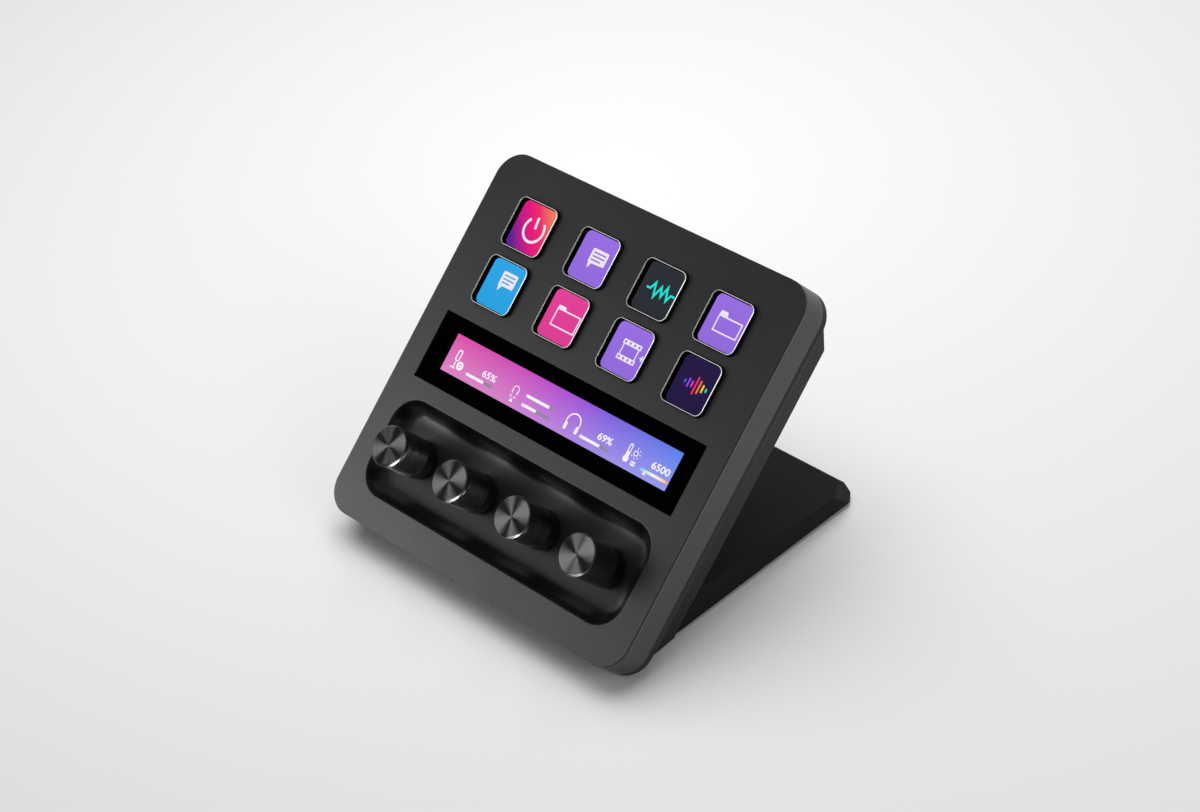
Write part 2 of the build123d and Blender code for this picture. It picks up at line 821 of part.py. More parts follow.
for number, place in enumerate(knob_places, start=1):
    knob_centre = face.from_local_coords((*place, 0))
    knob_axis = Axis(knob_centre, face.z_dir)
    knob_section = Plane(origin=knob_centre, x_dir=face.x_dir, z_dir=-face.y_dir)
    with BuildPart() as knob_body:
        with BuildSketch(knob_section):
            with BuildLine():
                Polyline(
                    (0, knob_bottom),
                    (knob_skirt_radius, knob_bottom),
                    (knob_skirt_radius, knob_skirt_top),
                    (knob_barrel_radius, knob_skirt_top),
                    (knob_barrel_radius, knob_neck_bottom),
                    (knob_neck_radius, knob_neck_bottom),
                    (knob_neck_radius, knob_rim_bottom),
                    (knob_rim_radius - knob_rim_chamfer, knob_rim_bottom),
                    (knob_rim_radius, knob_rim_bottom + knob_rim_chamfer),
                    (knob_rim_radius, knob_rim_top - knob_rim_chamfer),
                    (knob_rim_radius - knob_rim_chamfer, knob_rim_top),
                    (knob_cap_radius + knob_cap_fit, knob_rim_top),
                    (knob_cap_radius + knob_cap_fit, knob_cap_bottom),
                    (0, knob_cap_bottom),
                    close=True,
                )
            make_face()
        revolve(axis=knob_axis)
        with BuildSketch(face.offset(knob_bottom)):
            shaft_outline(place, shaft_fit)
        extrude(amount=shaft_grip + knob_travel, mode=Mode.SUBTRACT)
    knob_body.part.label = f"knob_body_{number}"
    export_step(knob_body.part, f"parts/knob_body_{number}.step")

    with BuildPart() as knob_cap:
        with BuildSketch(face.offset(knob_cap_bottom)):
            with Locations(place):
                Circle(knob_cap_radius)
        extrude(amount=knob_cap_thickness)
        chamfer(knob_cap.faces().sort_by(outward)[-1].edges(), knob_rim_drop)
    knob_cap.part.label = f"knob_cap_{number}"
    export_step(knob_cap.part, f"parts/knob_cap_{number}.step")

    with BuildPart() as encoder_shaft:
        with BuildSketch(face.offset(-shaft_back)):
            with Locations(place):
                Circle(shaft_radius)
        extrude(amount=shaft_back - flat_start)
        with BuildSketch(face.offset(-flat_start)):
            shaft_outline(place, 0)
        extrude(amount=shaft_top + flat_start)
    encoder_shaft.part.label = f"encoder_shaft_{number}"
    export_step(encoder_shaft.part, f"parts/encoder_shaft_{number}.step")

    with BuildPart() as push_plunger:
        with BuildSketch(face.offset(-plunger_back)):
            with Locations(place):
                Circle(shaft_radius)
        extrude(amount=plunger_height)
    push_plunger.part.label = f"push_plunger_{number}"
    export_step(push_plunger.part, f"parts/push_plunger_{number}.step")

# ---- Encoder housings, one under each knob ----
with BuildPart() as encoder_housings:
    with BuildSketch(face.offset(-encoder_board_front)):
        with Locations(*knob_places):
            Rectangle(encoder_side, encoder_side)
    extrude(amount=encoder_height)
    chamfer(encoder_housings.edges().filter_by(outward), encoder_chamfer)
    with BuildSketch(face.offset(-encoder_front)):
        with Locations(*knob_places):
            Circle(bushing_radius)
    extrude(amount=bushing_height)
    with BuildSketch(face.offset(bushing_height - encoder_front)):
        with Locations(*knob_places):
            Circle(shaft_radius + running_clearance)
    extrude(amount=encoder_front - bushing_height - encoder_bore_end, mode=Mode.SUBTRACT)
encoder_housings.part.label = "encoder_housings"
export_step(encoder_housings.part, "parts/encoder_housings.step")

# ---- Boards, chips and connectors ----
with BuildPart() as encoder_board:
    with BuildSketch(face.offset(-encoder_board_front)):
        with Locations((0, knob_row)):
            RectangleRounded(encoder_board_width, encoder_board_height, board_corner)
        with Locations(*encoder_screw_places):
            Circle(small_screw_radius + hole_clearance, mode=Mode.SUBTRACT)
    extrude(amount=-board_thickness)
encoder_board.part.label = "encoder_board"
export_step(encoder_board.part, "parts/encoder_board.step")

with BuildPart() as main_board:
    with BuildSketch(face.offset(-main_board_depth)):
        with Locations((0, main_board_middle)):
            RectangleRounded(main_board_width, main_board_height, board_corner)
        with Locations(*board_screw_places):
            Circle(small_screw_radius + hole_clearance, mode=Mode.SUBTRACT)
    extrude(amount=-board_thickness)
main_board.part.label = "main_board"
export_step(main_board.part, "parts/main_board.step")

with BuildPart() as port_board:
    with BuildSketch(Plane.XY.offset(port_board_bottom)):
        with Locations((0, (port_board_back_y + port_board_front_y) / 2)):
            Rectangle(port_board_width, port_board_length)
    extrude(amount=port_board_thickness)
port_board.part.label = "port_board"
export_step(port_board.part, "parts/port_board.step")

# The cables are flat strips, drawn in the section across the boards, where local X
# goes up the face and local Y out of it.
section = Plane(origin=face.origin, x_dir=face.y_dir, z_dir=face.x_dir)
under_main = -main_board_back - flex_thickness / 2
under_encoders = -encoder_board_back - flex_thickness / 2
over_main = flex_thickness / 2 - main_board_depth
strip_flex_level = -(strip_panel_depth + strip_panel_back) / 2
key_flex_level = -(key_panel_depth + chassis_front) / 2
encoder_board_top = knob_row + encoder_board_height / 2
port_flex_end = section.to_local_coords(
    Vector(0, port_board_front_y + flex_landing, port_board_bottom - flex_thickness / 2)
)
port_flex_bend = section.to_local_coords(
    Vector(0, port_board_front_y - flex_lead, port_board_bottom - flex_thickness / 2)
)
strip_connector_up = flex_slot_low - flex_landing
key_connector_up = flex_slot_high + flex_landing
main_connector_up = main_board_bottom + flex_landing
encoder_connector_up = encoder_board_top - flex_landing
port_connector_up = port_flex_bend.X - flex_lead - flex_landing
strip_route = [
    (glass_middle + strip_panel_height / 2, strip_flex_level),
    (flex_slot_low + flex_gap, strip_flex_level),
    (flex_slot_low + flex_gap, over_main),
    (strip_connector_up, over_main),
]
key_route = [
    (keys_middle - key_panel_height / 2, key_flex_level),
    (flex_slot_high - flex_gap, key_flex_level),
    (flex_slot_high - flex_gap, over_main),
    (key_connector_up, over_main),
]
encoder_route = [
    (main_connector_up, under_main),
    (main_board_bottom - flex_lead, under_main),
    (encoder_board_top + flex_lead, under_encoders),
    (encoder_connector_up, under_encoders),
]
port_route = [
    (port_connector_up, under_main),
    (port_flex_bend.X - 2 * flex_lead, under_main),
    (port_flex_bend.X, port_flex_bend.Y),
    (port_flex_end.X, port_flex_end.Y),
]
with BuildPart() as flex_cables:
    with BuildSketch(section):
        for route in (strip_route, key_route, encoder_route):
            with BuildLine() as path:
                Polyline(*route)
            trace(path.line, flex_thickness)
    extrude(amount=flex_width / 2, both=True)
    with BuildSketch(section):
        with BuildLine() as path:
            Polyline(*port_route)
        trace(path.line, flex_thickness)
    extrude(amount=port_flex_width / 2, both=True)
flex_cables.part.label = "flex_cables"
export_step(flex_cables.part, "parts/flex_cables.step")


def connector(up, width):
    """A cable connector on the sketch in hand that starts at a distance up the face."""
    with Locations((0, up)):
        Rectangle(
            width + 2 * connector_margin, connector_length, align=(Align.CENTER, Align.MIN)
        )


with BuildPart() as board_chips:
    with BuildSketch(face.offset(-main_board_back)):
        with Locations((processor_x, main_board_middle + chip_rise)):
            Rectangle(processor_side, processor_side)
        with Locations((memory_x, main_board_middle + chip_rise)):
            Rectangle(memory_side, memory_side)
        with Locations((0, main_board_middle - driver_drop)):
            with GridLocations(driver_pitch, driver_pitch, driver_count, 1):
                Rectangle(driver_side, driver_side)
    extrude(amount=-chip_height)
    with BuildSketch(face.offset(-main_board_back)):
        connector(main_connector_up, flex_width)
        connector(port_connector_up - connector_length, port_flex_width)
    extrude(amount=-connector_height)
    with BuildSketch(face.offset(-main_board_depth)):
        connector(strip_connector_up - connector_length, flex_width)
        connector(key_connector_up, flex_width)
    extrude(amount=connector_height)
    with BuildSketch(face.offset(-encoder_board_back)):
        connector(encoder_connector_up - connector_length, flex_width)
    extrude(amount=-connector_height)
    with BuildSketch(Plane.XY.offset(port_board_bottom)):
        connector(port_board_front_y + flex_landing, port_flex_width)
    extrude(amount=-connector_height)
board_chips.part.label = "board_chips"
export_step(board_chips.part, "parts/board_chips.step")

# ---- The port: an oblong steel shell with its tongue, flush with the recess's floor ----
with BuildPart() as usb_port:
    with BuildSketch(port_face.offset(-recess_depth)):
        SlotOverall(port_width, port_thickness)
    extrude(amount=-port_length)
    with BuildSketch(port_face.offset(-recess_depth)):
        SlotOverall(port_width - 2 * port_skin, port_thickness - 2 * port_skin)
    extrude(amount=-(port_length - port_back_wall), mode=Mode.SUBTRACT)
    with BuildSketch(port_face.offset(-recess_depth - port_tongue_setback)):
        Rectangle(port_tongue_width, port_tongue)
    extrude(amount=-(port_length - port_tongue_setback))
usb_port.part.label = "usb_port"
export_step(usb_port.part, "parts/usb_port.step")

# ---- The stand: a wedge behind the block, hollow from below ----
stand_fall = math.tan(math.radians(stand_slope))
stand_joint_y = plane_y(block_depth, stand_joint_height)


def stand_top(y):
    """The height of the stand's sloping top."""
    return stand_joint_height - (y - stand_joint_y) * stand_fall


bevel_y = rear_y - stand_rear_bevel
stand_length = rear_y - stand_joint_y
hollow_front = block_depth + stand_front_wall
hollow_rear_y = rear_y - stand_rear_wall
hollow_half_width = block_half_width - stand_side_wall
hollow_joint_y = plane_y(hollow_front, stand_joint_height)
hollow_joint_drop = (hollow_joint_y - stand_joint_y) * stand_fall + stand_wall
hollow_joint_height = stand_joint_height - hollow_joint_drop / (
    1 + stand_fall * tilt_cos / tilt_sin
)
cover_front_y = plane_y(hollow_front, cover_top) - cover_lap
cover_rear_y = hollow_rear_y + cover_lap
cover_half_width = hollow_half_width + cover_lap
cover_middle_y = (cover_front_y + cover_rear_y) / 2
cover_screw_places = [
    (side * (hollow_half_width - cover_screw_side_margin), y)
    for side in (-1, 1)
    for y in (cover_front_y + cover_screw_end_margin, cover_rear_y - cover_screw_end_margin)
]
ballast_front_y = plane_y(hollow_front, cover_top + ballast_thickness) + ballast_end_gap
ballast_rear_y = hollow_rear_y - ballast_end_gap
ballast_middle_y = (ballast_front_y + ballast_rear_y) / 2
ballast_width = 2 * (hollow_half_width - ballast_side_gap)
pad_width = 2 * (cover_half_width - pad_side_margin)
pad_length = cover_rear_y - cover_front_y - 2 * pad_end_margin
cut_rise = math.radians(corner_cut_rise)
cut_heading = math.radians(corner_cut_heading)

with BuildPart() as stand_shell:
    with BuildSketch(Plane.YZ):
        with BuildLine():
            Polyline(
                (plane_y(block_depth, stand_floor), stand_floor),
                (stand_joint_y, stand_joint_height),
                (bevel_y, stand_top(bevel_y)),
                (rear_y, stand_top(bevel_y) - stand_rear_bevel),
                (rear_y, stand_floor),
                close=True,
            )
        make_face()
    extrude(amount=block_half_width, both=True)
    for side in (-1, 1):
        corner = (side * block_half_width, rear_y - corner_cut_setback, corner_cut_height)
        cut_way = (
            side * math.cos(cut_rise) * math.cos(cut_heading),
            math.cos(cut_rise) * math.sin(cut_heading),
            math.sin(cut_rise),
        )
        split(bisect_by=Plane(origin=corner, z_dir=cut_way), keep=Keep.BOTTOM)
    # The bright edges along both sides of the top, and the chamfer round the bottom.
    long_edges = stand_shell.edges().filter_by(
        lambda edge: abs(edge.center().X) > hollow_half_width and edge.length > stand_length / 2
    )
    chamfer(long_edges.sort_by(Axis.Z)[-2:], stand_edge_chamfer)
    bottom_edges = stand_shell.faces().sort_by(Axis.Z)[0].edges()
    chamfer(bottom_edges.sort_by(Axis.Y)[1:], stand_bottom_chamfer)
    # The hollow, the bosses in it, and the recess for the cover.
    with BuildSketch(Plane.YZ):
        with BuildLine():
            Polyline(
                (plane_y(hollow_front, stand_floor), stand_floor),
                (plane_y(hollow_front, hollow_joint_height), hollow_joint_height),
                (hollow_rear_y, stand_top(hollow_rear_y) - stand_wall),
                (hollow_rear_y, stand_floor),
                close=True,
            )
        make_face()
    extrude(amount=hollow_half_width, both=True, mode=Mode.SUBTRACT)
    with BuildSketch(face.offset(-block_depth - stand_front_wall / 2)):
        with Locations(*stand_screw_places):
            Circle(stand_boss_radius)
    extrude(amount=stand_front_wall / 2 - stand_boss_reach)
    with BuildSketch(face.offset(-block_depth)):
        with Locations(*stand_screw_places):
            Circle(screw_radius + thread_clearance)
    extrude(amount=-(stand_screw_reach + thread_end), mode=Mode.SUBTRACT)
    for place in cover_screw_places:
        with BuildSketch(Plane.XY.offset(cover_top)):
            with Locations(place):
                Circle(boss_radius)
        extrude(amount=stand_top(place[1]) - stand_wall / 2 - cover_top)
    with BuildSketch(Plane.XY.offset(cover_top)):
        with Locations(*cover_screw_places):
            Circle(small_screw_radius + thread_clearance)
    extrude(amount=cover_seat + cover_screw_reach + thread_end - cover_top, mode=Mode.SUBTRACT)
    with BuildSketch(Plane.XY.offset(stand_floor)):
        with Locations((0, cover_middle_y)):
            Rectangle(2 * cover_half_width, cover_rear_y - cover_front_y)
    extrude(amount=cover_thickness, mode=Mode.SUBTRACT)
stand_shell.part.label = "stand_shell"
export_step(stand_shell.part, "parts/stand_shell.step")

# ---- The stand's cover, its steel ballast and the non-slip pads ----
with BuildPart() as stand_cover:
    with BuildSketch(Plane.XY.offset(stand_floor)):
        with Locations((0, cover_middle_y)):
            Rectangle(
                2 * (cover_half_width - cover_fit), cover_rear_y - cover_front_y - 2 * cover_fit
            )
    extrude(amount=cover_thickness)
    with BuildSketch(Plane.XY.offset(stand_floor)):
        with Locations((0, cover_middle_y)):
            RectangleRounded(pad_width + 2 * pad_fit, pad_length + 2 * pad_fit, pad_corner)
    extrude(amount=pad_recess, mode=Mode.SUBTRACT)
    with BuildSketch(Plane.XY.offset(stand_floor)):
        with Locations(*cover_screw_places):
            Circle(small_screw_radius + hole_clearance)
    extrude(amount=cover_thickness, mode=Mode.SUBTRACT)
    with BuildSketch(Plane.XY.offset(stand_floor)):
        with Locations(*cover_screw_places):
            Circle(small_head_radius + hole_clearance)
    extrude(amount=small_head_height, mode=Mode.SUBTRACT)
stand_cover.part.label = "stand_cover"
export_step(stand_cover.part, "parts/stand_cover.step")

with BuildPart() as ballast_plate:
    with BuildSketch(Plane.XY.offset(cover_top)):
        with Locations((0, ballast_middle_y)):
            Rectangle(ballast_width, ballast_rear_y - ballast_front_y)
    extrude(amount=ballast_thickness)
ballast_plate.part.label = "ballast_plate"
export_step(ballast_plate.part, "parts/ballast_plate.step")

with BuildPart() as stand_pad:
    with BuildSketch():
        with Locations((0, cover_middle_y)):
            RectangleRounded(pad_width, pad_length, pad_corner - pad_fit)
    extrude(amount=pad_thickness)
stand_pad.part.label = "stand_pad"
export_step(stand_pad.part, "parts/stand_pad.step")

with BuildPart() as front_pad:
    with BuildSketch():
        with Locations((0, front_pad_y)):
            RectangleRounded(front_pad_width, front_pad_length, front_pad_corner)
    extrude(amount=pad_thickness)
front_pad.part.label = "front_pad"
export_step(front_pad.part, "parts/front_pad.step")

# ---- Screws ----
chassis_screws = small_screws(face.offset(-ledge_back), post_places, chassis_screw_reach)
chassis_screws.label = "chassis_screws"
export_step(chassis_screws, "parts/chassis_screws.step")

main_board_screws = small_screws(
    face.offset(-main_board_back), board_screw_places, board_screw_reach
)
encoder_board_screws = small_screws(
    face.offset(-encoder_board_back), encoder_screw_places, encoder_screw_reach
)
with BuildPart() as board_screws:
    add(main_board_screws)
    add(encoder_board_screws)
board_screws.part.label = "board_screws"
export_step(board_screws.part, "parts/board_screws.step")

case_screws = screw_set(
    face.offset(-case_seat_depth),
    case_screw_places,
    screw_radius,
    case_screw_reach,
    screw_head_radius,
    screw_head_height,
)
case_screws.label = "case_screws"
export_step(case_screws, "parts/case_screws.step")

stand_screws = screw_set(
    face.offset(shell_wall - block_depth),
    stand_screw_places,
    screw_radius,
    shell_wall + stand_screw_reach,
    screw_head_radius,
    screw_head_height,
    way=-1,
)
stand_screws.label = "stand_screws"
export_step(stand_screws, "parts/stand_screws.step")

cover_screws = small_screws(Plane.XY.offset(cover_seat), cover_screw_places, cover_screw_reach)
cover_screws.label = "cover_screws"
export_step(cover_screws, "parts/cover_screws.step")
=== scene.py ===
# %% [markdown]
# # Dressing a macro keypad with knobs
#
# The solid model of this keypad already exists: a leaning case, eight picture keys, a lit
# touch strip, four knobs in a trough and a wedge stand. This lesson loads that model, gives
# every node a finish, and swaps in finer pieces where the plain solids aren't enough: the
# clear keys, the knurled knobs, and everything that is lit.
#
# We start by loading the model.

# %% Load the model
import bmesh
import bpy
import json
import math
from mathutils import Matrix, Vector

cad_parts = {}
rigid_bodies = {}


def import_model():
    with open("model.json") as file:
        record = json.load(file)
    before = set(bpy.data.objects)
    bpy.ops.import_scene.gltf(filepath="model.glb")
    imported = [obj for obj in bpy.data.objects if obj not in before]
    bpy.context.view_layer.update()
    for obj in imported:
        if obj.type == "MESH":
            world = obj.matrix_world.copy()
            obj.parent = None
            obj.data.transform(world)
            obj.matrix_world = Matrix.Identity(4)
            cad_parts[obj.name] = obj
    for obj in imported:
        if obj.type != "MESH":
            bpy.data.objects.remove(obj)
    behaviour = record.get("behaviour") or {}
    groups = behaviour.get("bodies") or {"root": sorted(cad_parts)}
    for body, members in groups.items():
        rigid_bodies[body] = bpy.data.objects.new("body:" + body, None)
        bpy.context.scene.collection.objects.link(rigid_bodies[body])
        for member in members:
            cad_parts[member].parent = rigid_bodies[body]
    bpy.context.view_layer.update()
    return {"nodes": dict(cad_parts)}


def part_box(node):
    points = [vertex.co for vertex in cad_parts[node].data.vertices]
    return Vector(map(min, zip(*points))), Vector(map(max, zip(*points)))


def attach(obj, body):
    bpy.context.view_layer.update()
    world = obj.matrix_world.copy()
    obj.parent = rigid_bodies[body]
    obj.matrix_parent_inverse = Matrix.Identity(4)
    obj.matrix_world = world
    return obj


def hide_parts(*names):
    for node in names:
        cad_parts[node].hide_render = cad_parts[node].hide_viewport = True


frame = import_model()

nodes = frame["nodes"]

# %% [markdown]
# ## Standing on the face
#
# Almost everything we make lies on the leaning face. It is much easier to think in the
# face's own directions: across it, up it, and out of it, in millimetres. One matrix does
# that for whole objects, and one small function does it for single points.

# %% The face's own directions
mm = 0.001
face_tilt = math.radians(41.0)
face_front_edge = Vector((0.0, -61.0, 11.3)) * mm
across = Vector((1.0, 0.0, 0.0))
up_the_face = Vector((0.0, math.cos(face_tilt), math.sin(face_tilt)))
out_of_face = across.cross(up_the_face)

face_matrix = Matrix.Identity(4)
for column, direction in enumerate((across, up_the_face, out_of_face)):
    face_matrix.col[column][:3] = direction
face_matrix.translation = face_front_edge


def on_face(x, y, out=0.0):
    """A point of the face, given in millimetres, as a place in the room."""
    return face_matrix @ Vector((x * mm, y * mm, out * mm))


face_length = 136.0
plate_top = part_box("face_plate")[1]
print("top edge of the face:", tuple(on_face(0.0, face_length)), "plate's top:", plate_top.z)

# %% [markdown]
# ## The camera
#
# A small object looks calm through a long lens: the lines stay nearly parallel. The camera
# stands high on the right, in front, a metre away. It looks at a point near the middle of
# the keypad, and it is rolled a little about its line of sight.

# %% Place the camera
camera_data = bpy.data.cameras.new("portrait_camera")
camera_data.sensor_fit = "HORIZONTAL"
camera_data.sensor_width = 36.0
camera_data.lens = 91.918
camera = bpy.data.objects.new("portrait_camera", camera_data)
bpy.context.scene.collection.objects.link(camera)
camera_place = Vector((619.447, -511.596, 655.317)) * mm
camera_target = Vector((8.199, 0.084, 51.529)) * mm
camera_roll = Matrix.Rotation(math.radians(-7.7897), 4, "Z")


def aimed(place, target):
    """The matrix of a camera or lamp that stands at a place and looks at a target."""
    way = Vector(target) - Vector(place)
    return Matrix.Translation(place) @ way.to_track_quat("-Z", "Y").to_matrix().to_4x4()


camera.matrix_world = aimed(camera_place, camera_target) @ camera_roll
bpy.context.scene.camera = camera
bpy.context.scene.view_settings.view_transform = "Standard"
print("camera at", tuple(camera.matrix_world.translation))

# %% [markdown]
# ## Small tools for materials
#
# Each finish is a Principled shader with a few nodes in front of it. The first helpers make
# the material, add a node with its values, and join two sockets. The others are steps that
# come back in many finishes: where on the piece a point lies, a pattern or a cloudy noise,
# a value moved to another range, a mixture of two, and a bump.

# %% Material helpers
def new_finish(name, colour, roughness, metallic=0.0, specular=0.5, coat=0.0):
    """A Principled material with its plain values set on the shader's own sockets."""
    material = bpy.data.materials.new(name)
    material.use_nodes = True
    shader = shader_of(material)
    shader.inputs["Base Color"].default_value = (*colour, 1.0)
    shader.inputs["Roughness"].default_value = roughness
    shader.inputs["Metallic"].default_value = metallic
    shader.inputs["Specular IOR Level"].default_value = specular
    shader.inputs["Coat Weight"].default_value = coat
    return material


def shader_of(material):
    return material.node_tree.nodes["Principled BSDF"]


def add_node(material, kind, **values):
    """A node whose properties or input sockets are set by name."""
    node = material.node_tree.nodes.new(kind)
    for name, value in values.items():
        if hasattr(node, name):
            setattr(node, name, value)
        else:
            node.inputs[name.replace("_", " ")].default_value = value
    return node


def join(material, out_socket, in_socket):
    material.node_tree.links.new(out_socket, in_socket)


def into_shader(material, out_socket, name):
    """Feed one of the Principled shader's inputs."""
    join(material, out_socket, shader_of(material).inputs[name])


def feeding(material, name):
    """The socket that feeds one of the shader's inputs so far."""
    return shader_of(material).inputs[name].links[0].from_socket


print("material helpers ready")

# %% Steps that come back in many finishes
def place_of(material):
    """Object coordinates: metres in the piece's own frame."""
    return add_node(material, "ShaderNodeTexCoord").outputs["Object"]


def along(material, way):
    """How far a point of the piece lies along a way of length one, in metres."""
    dot = add_node(material, "ShaderNodeVectorMath", operation="DOT_PRODUCT")
    join(material, place_of(material), dot.inputs[0])
    dot.inputs[1].default_value = tuple(way)
    return dot.outputs["Value"]


def pattern(material, kind, place=None, **values):
    """A texture or mapping node that reads a place, mostly the object coordinates."""
    node = add_node(material, kind, **values)
    join(material, place_of(material) if place is None else place, node.inputs["Vector"])
    return node


def noise(material, scale, detail=2.0, place=None):
    """Cloudy noise from 0 to 1, the finer the larger its scale."""
    cloud = pattern(material, "ShaderNodeTexNoise", place, Scale=scale, Detail=detail)
    return cloud.outputs["Fac"]


def ranged(material, value, start, end, first=0.0, last=1.0):
    """A value that runs from first to last while another runs from start to end."""
    reach = add_node(material, "ShaderNodeMapRange", From_Min=start, From_Max=end,
                     To_Min=first, To_Max=last)
    join(material, value, reach.inputs["Value"])
    return reach.outputs["Result"]


def mixed(material, share, first, second, kind="RGBA"):
    """Something between first and second, each a colour or a socket that gives one."""
    mix = add_node(material, "ShaderNodeMix", data_type=kind)
    join(material, share, mix.inputs["Factor"])
    for name, part in (("A", first), ("B", second)):
        if isinstance(part, tuple):
            mix.inputs[name].default_value = (*part, 1.0)
        else:
            join(material, part, mix.inputs[name])
    return mix.outputs["Result"]


def scaled(colour, factor):
    return tuple(factor * channel for channel in colour)


def bumped(material, height, strength, depth_mm):
    """Shade the surface as if a height raised and lowered it by a small depth."""
    bump = add_node(material, "ShaderNodeBump", Strength=strength, Distance=depth_mm * mm)
    join(material, height, bump.inputs["Height"])
    into_shader(material, bump.outputs["Normal"], "Normal")
    return bump


print("step helpers ready")

# %% [markdown]
# ## Moulded plastic
#
# The case is injection-moulded, and the steel mould was spark-eroded, which leaves a fine
# even grain of a few hundredths of a millimetre. Seen from a metre away, the grain mostly
# softens the gloss, so the shader's roughness carries the look. A small bump gives the
# sparkle, and a broad, faint change of roughness keeps large faces from looking painted.
# Moulded edges are never quite sharp, so a bevel node rounds them by a small radius. It does
# so for the light alone and leaves the shape as it is.

# %% Grained plastic
def moulded(name, colour, roughness, grain_mm=0.12, specular=0.5, edge_mm=0.0):
    """Spark-eroded moulded plastic: fine bump, faint cloud in colour and roughness."""
    material = new_finish(name, colour, roughness, specular=specular)
    bump = bumped(material, noise(material, 1.0 / (grain_mm * mm)), 0.35, 0.012)
    if edge_mm:
        soft_edge = add_node(material, "ShaderNodeBevel", samples=6, Radius=edge_mm * mm)
        join(material, soft_edge.outputs["Normal"], bump.inputs["Normal"])
    cloud = noise(material, 45.0, 3.0)
    gloss = ranged(material, cloud, 0.3, 0.7, roughness - 0.03, roughness + 0.03)
    into_shader(material, gloss, "Roughness")
    tint = mixed(material, cloud, scaled(colour, 0.93), scaled(colour, 1.07))
    into_shader(material, tint, "Base Color")
    return material


case_edge = 0.15
face_finish = moulded("satin_face", (0.008, 0.008, 0.0083), 0.42, specular=0.13,
                      edge_mm=case_edge)
frame_finish = moulded("satin_frame", (0.012, 0.012, 0.0125), 0.40, specular=0.75,
                       edge_mm=case_edge)
shell_finish = moulded("matt_shell", (0.009, 0.009, 0.0095), 0.5, grain_mm=0.2, specular=0.25,
                       edge_mm=case_edge)
stand_finish = moulded("matt_stand", (0.011, 0.011, 0.0115), 0.5, grain_mm=0.2, specular=0.04,
                       edge_mm=case_edge)
plunger_finish = moulded("white_acetal", (0.78, 0.78, 0.75), 0.45)
print("plastics:", [m.name for m in (face_finish, frame_finish, shell_finish, stand_finish)])

# %% [markdown]
# ## The trough's polish and painted shade
#
# The trough is part of the face plate, so no seam may show where its finish changes. In the
# mould its walls were polished, while the floor was left a little rougher. Its colour is
# painted darker than the face, as painted shade in the recess. Depth decides: the dot product
# of a place with the direction out of the face is its height, and map ranges turn that
# height into gloss and painted shade.

# %% The polished trough, with painted shade
face_level = face_front_edge.dot(out_of_face)
height_here = along(face_finish, out_of_face)


def by_depth(depths, first, last):
    """A value that runs from first to last between two depths below the face, in mm."""
    shallow, deep = depths
    return ranged(face_finish, height_here, face_level - shallow * mm, face_level - deep * mm,
                  first, last)


rim_depths = (0.3, 1.5)
floor_depths = (4.8, 5.5)
wall_gloss, floor_gloss = 0.28, 0.62
in_trough = by_depth(rim_depths, 0.0, 1.0)
trough_gloss = by_depth(floor_depths, wall_gloss, floor_gloss)
polish = mixed(face_finish, in_trough, feeding(face_finish, "Roughness"), trough_gloss, "FLOAT")
into_shader(face_finish, polish, "Roughness")
# Painted shade: the trough's colour is darkened below the face, standing in for shade in the
# recess.
painted_trough_shade = mixed(face_finish, in_trough, feeding(face_finish, "Base Color"),
               (0.0035, 0.0035, 0.0036))
into_shader(face_finish, painted_trough_shade, "Base Color")
print("the face lies", face_level / mm, "mm out from the origin")

# %% [markdown]
# ## Rubber, sheet metal and boards
#
# The pieces inside are seldom seen, but they are real pieces and each gets its own finish.
# Rubber is rough with a coarse speckle. Rolled metal has streaks along one direction,
# which a noise texture gives when its coordinates are stretched. A circuit board is green
# lacquer over faint copper tracks, drawn by a brick pattern that shows through a little.

# %% Rubber and metal
def speckled(name, colour, roughness, speck_mm=0.4, specular=0.3):
    """Soft matt stuff with a coarse speckle, such as rubber or foam."""
    material = new_finish(name, colour, roughness, specular=specular)
    specks = pattern(material, "ShaderNodeTexVoronoi", Scale=1.0 / (speck_mm * mm))
    bumped(material, specks.outputs["Distance"], 0.5, 0.03)
    return material


def rolled(name, colour, roughness, stretch=(1.0, 25.0, 25.0)):
    """Rolled or drawn metal: streaks along one direction."""
    material = new_finish(name, colour, roughness, metallic=1.0)
    stretched = pattern(material, "ShaderNodeMapping", Scale=stretch)
    streaks = noise(material, 220.0, 4.0, stretched.outputs["Vector"])
    gloss = ranged(material, streaks, 0.0, 1.0, roughness - 0.08, roughness + 0.1)
    into_shader(material, gloss, "Roughness")
    return material


pad_finish = speckled("pad_rubber", (0.018, 0.018, 0.019), 0.85)
gasket_finish = speckled("gasket_foam", (0.001, 0.001, 0.001), 0.95, speck_mm=0.25, specular=0.0)
mat_finish = speckled("mat_silicone", (0.02, 0.02, 0.021), 0.6)
chassis_finish = rolled("chassis_aluminium", (0.62, 0.63, 0.64), 0.4)
encoder_finish = rolled("encoder_plate", (0.6, 0.6, 0.6), 0.32)
shaft_finish = rolled("ground_shaft", (0.62, 0.62, 0.62), 0.22)
ballast_finish = rolled("ballast_plate_steel", (0.36, 0.36, 0.37), 0.42)
screw_finish = rolled("blackened_screw", (0.05, 0.05, 0.052), 0.38)
port_finish = rolled("port_shell_steel", (0.66, 0.66, 0.67), 0.25)
print("rubber and metal ready")

# %% Boards, chips and films
def board_lacquer(name):
    """Green lacquer with the copper tracks just showing."""
    material = new_finish(name, (0.01, 0.09, 0.035), 0.32, coat=0.2)
    tracks = pattern(material, "ShaderNodeTexBrick", Scale=260.0, Mortar_Size=0.06,
                     Color1=(0.010, 0.085, 0.033, 1.0), Color2=(0.012, 0.105, 0.040, 1.0),
                     Mortar=(0.030, 0.170, 0.060, 1.0))
    into_shader(material, tracks.outputs["Color"], "Base Color")
    return material


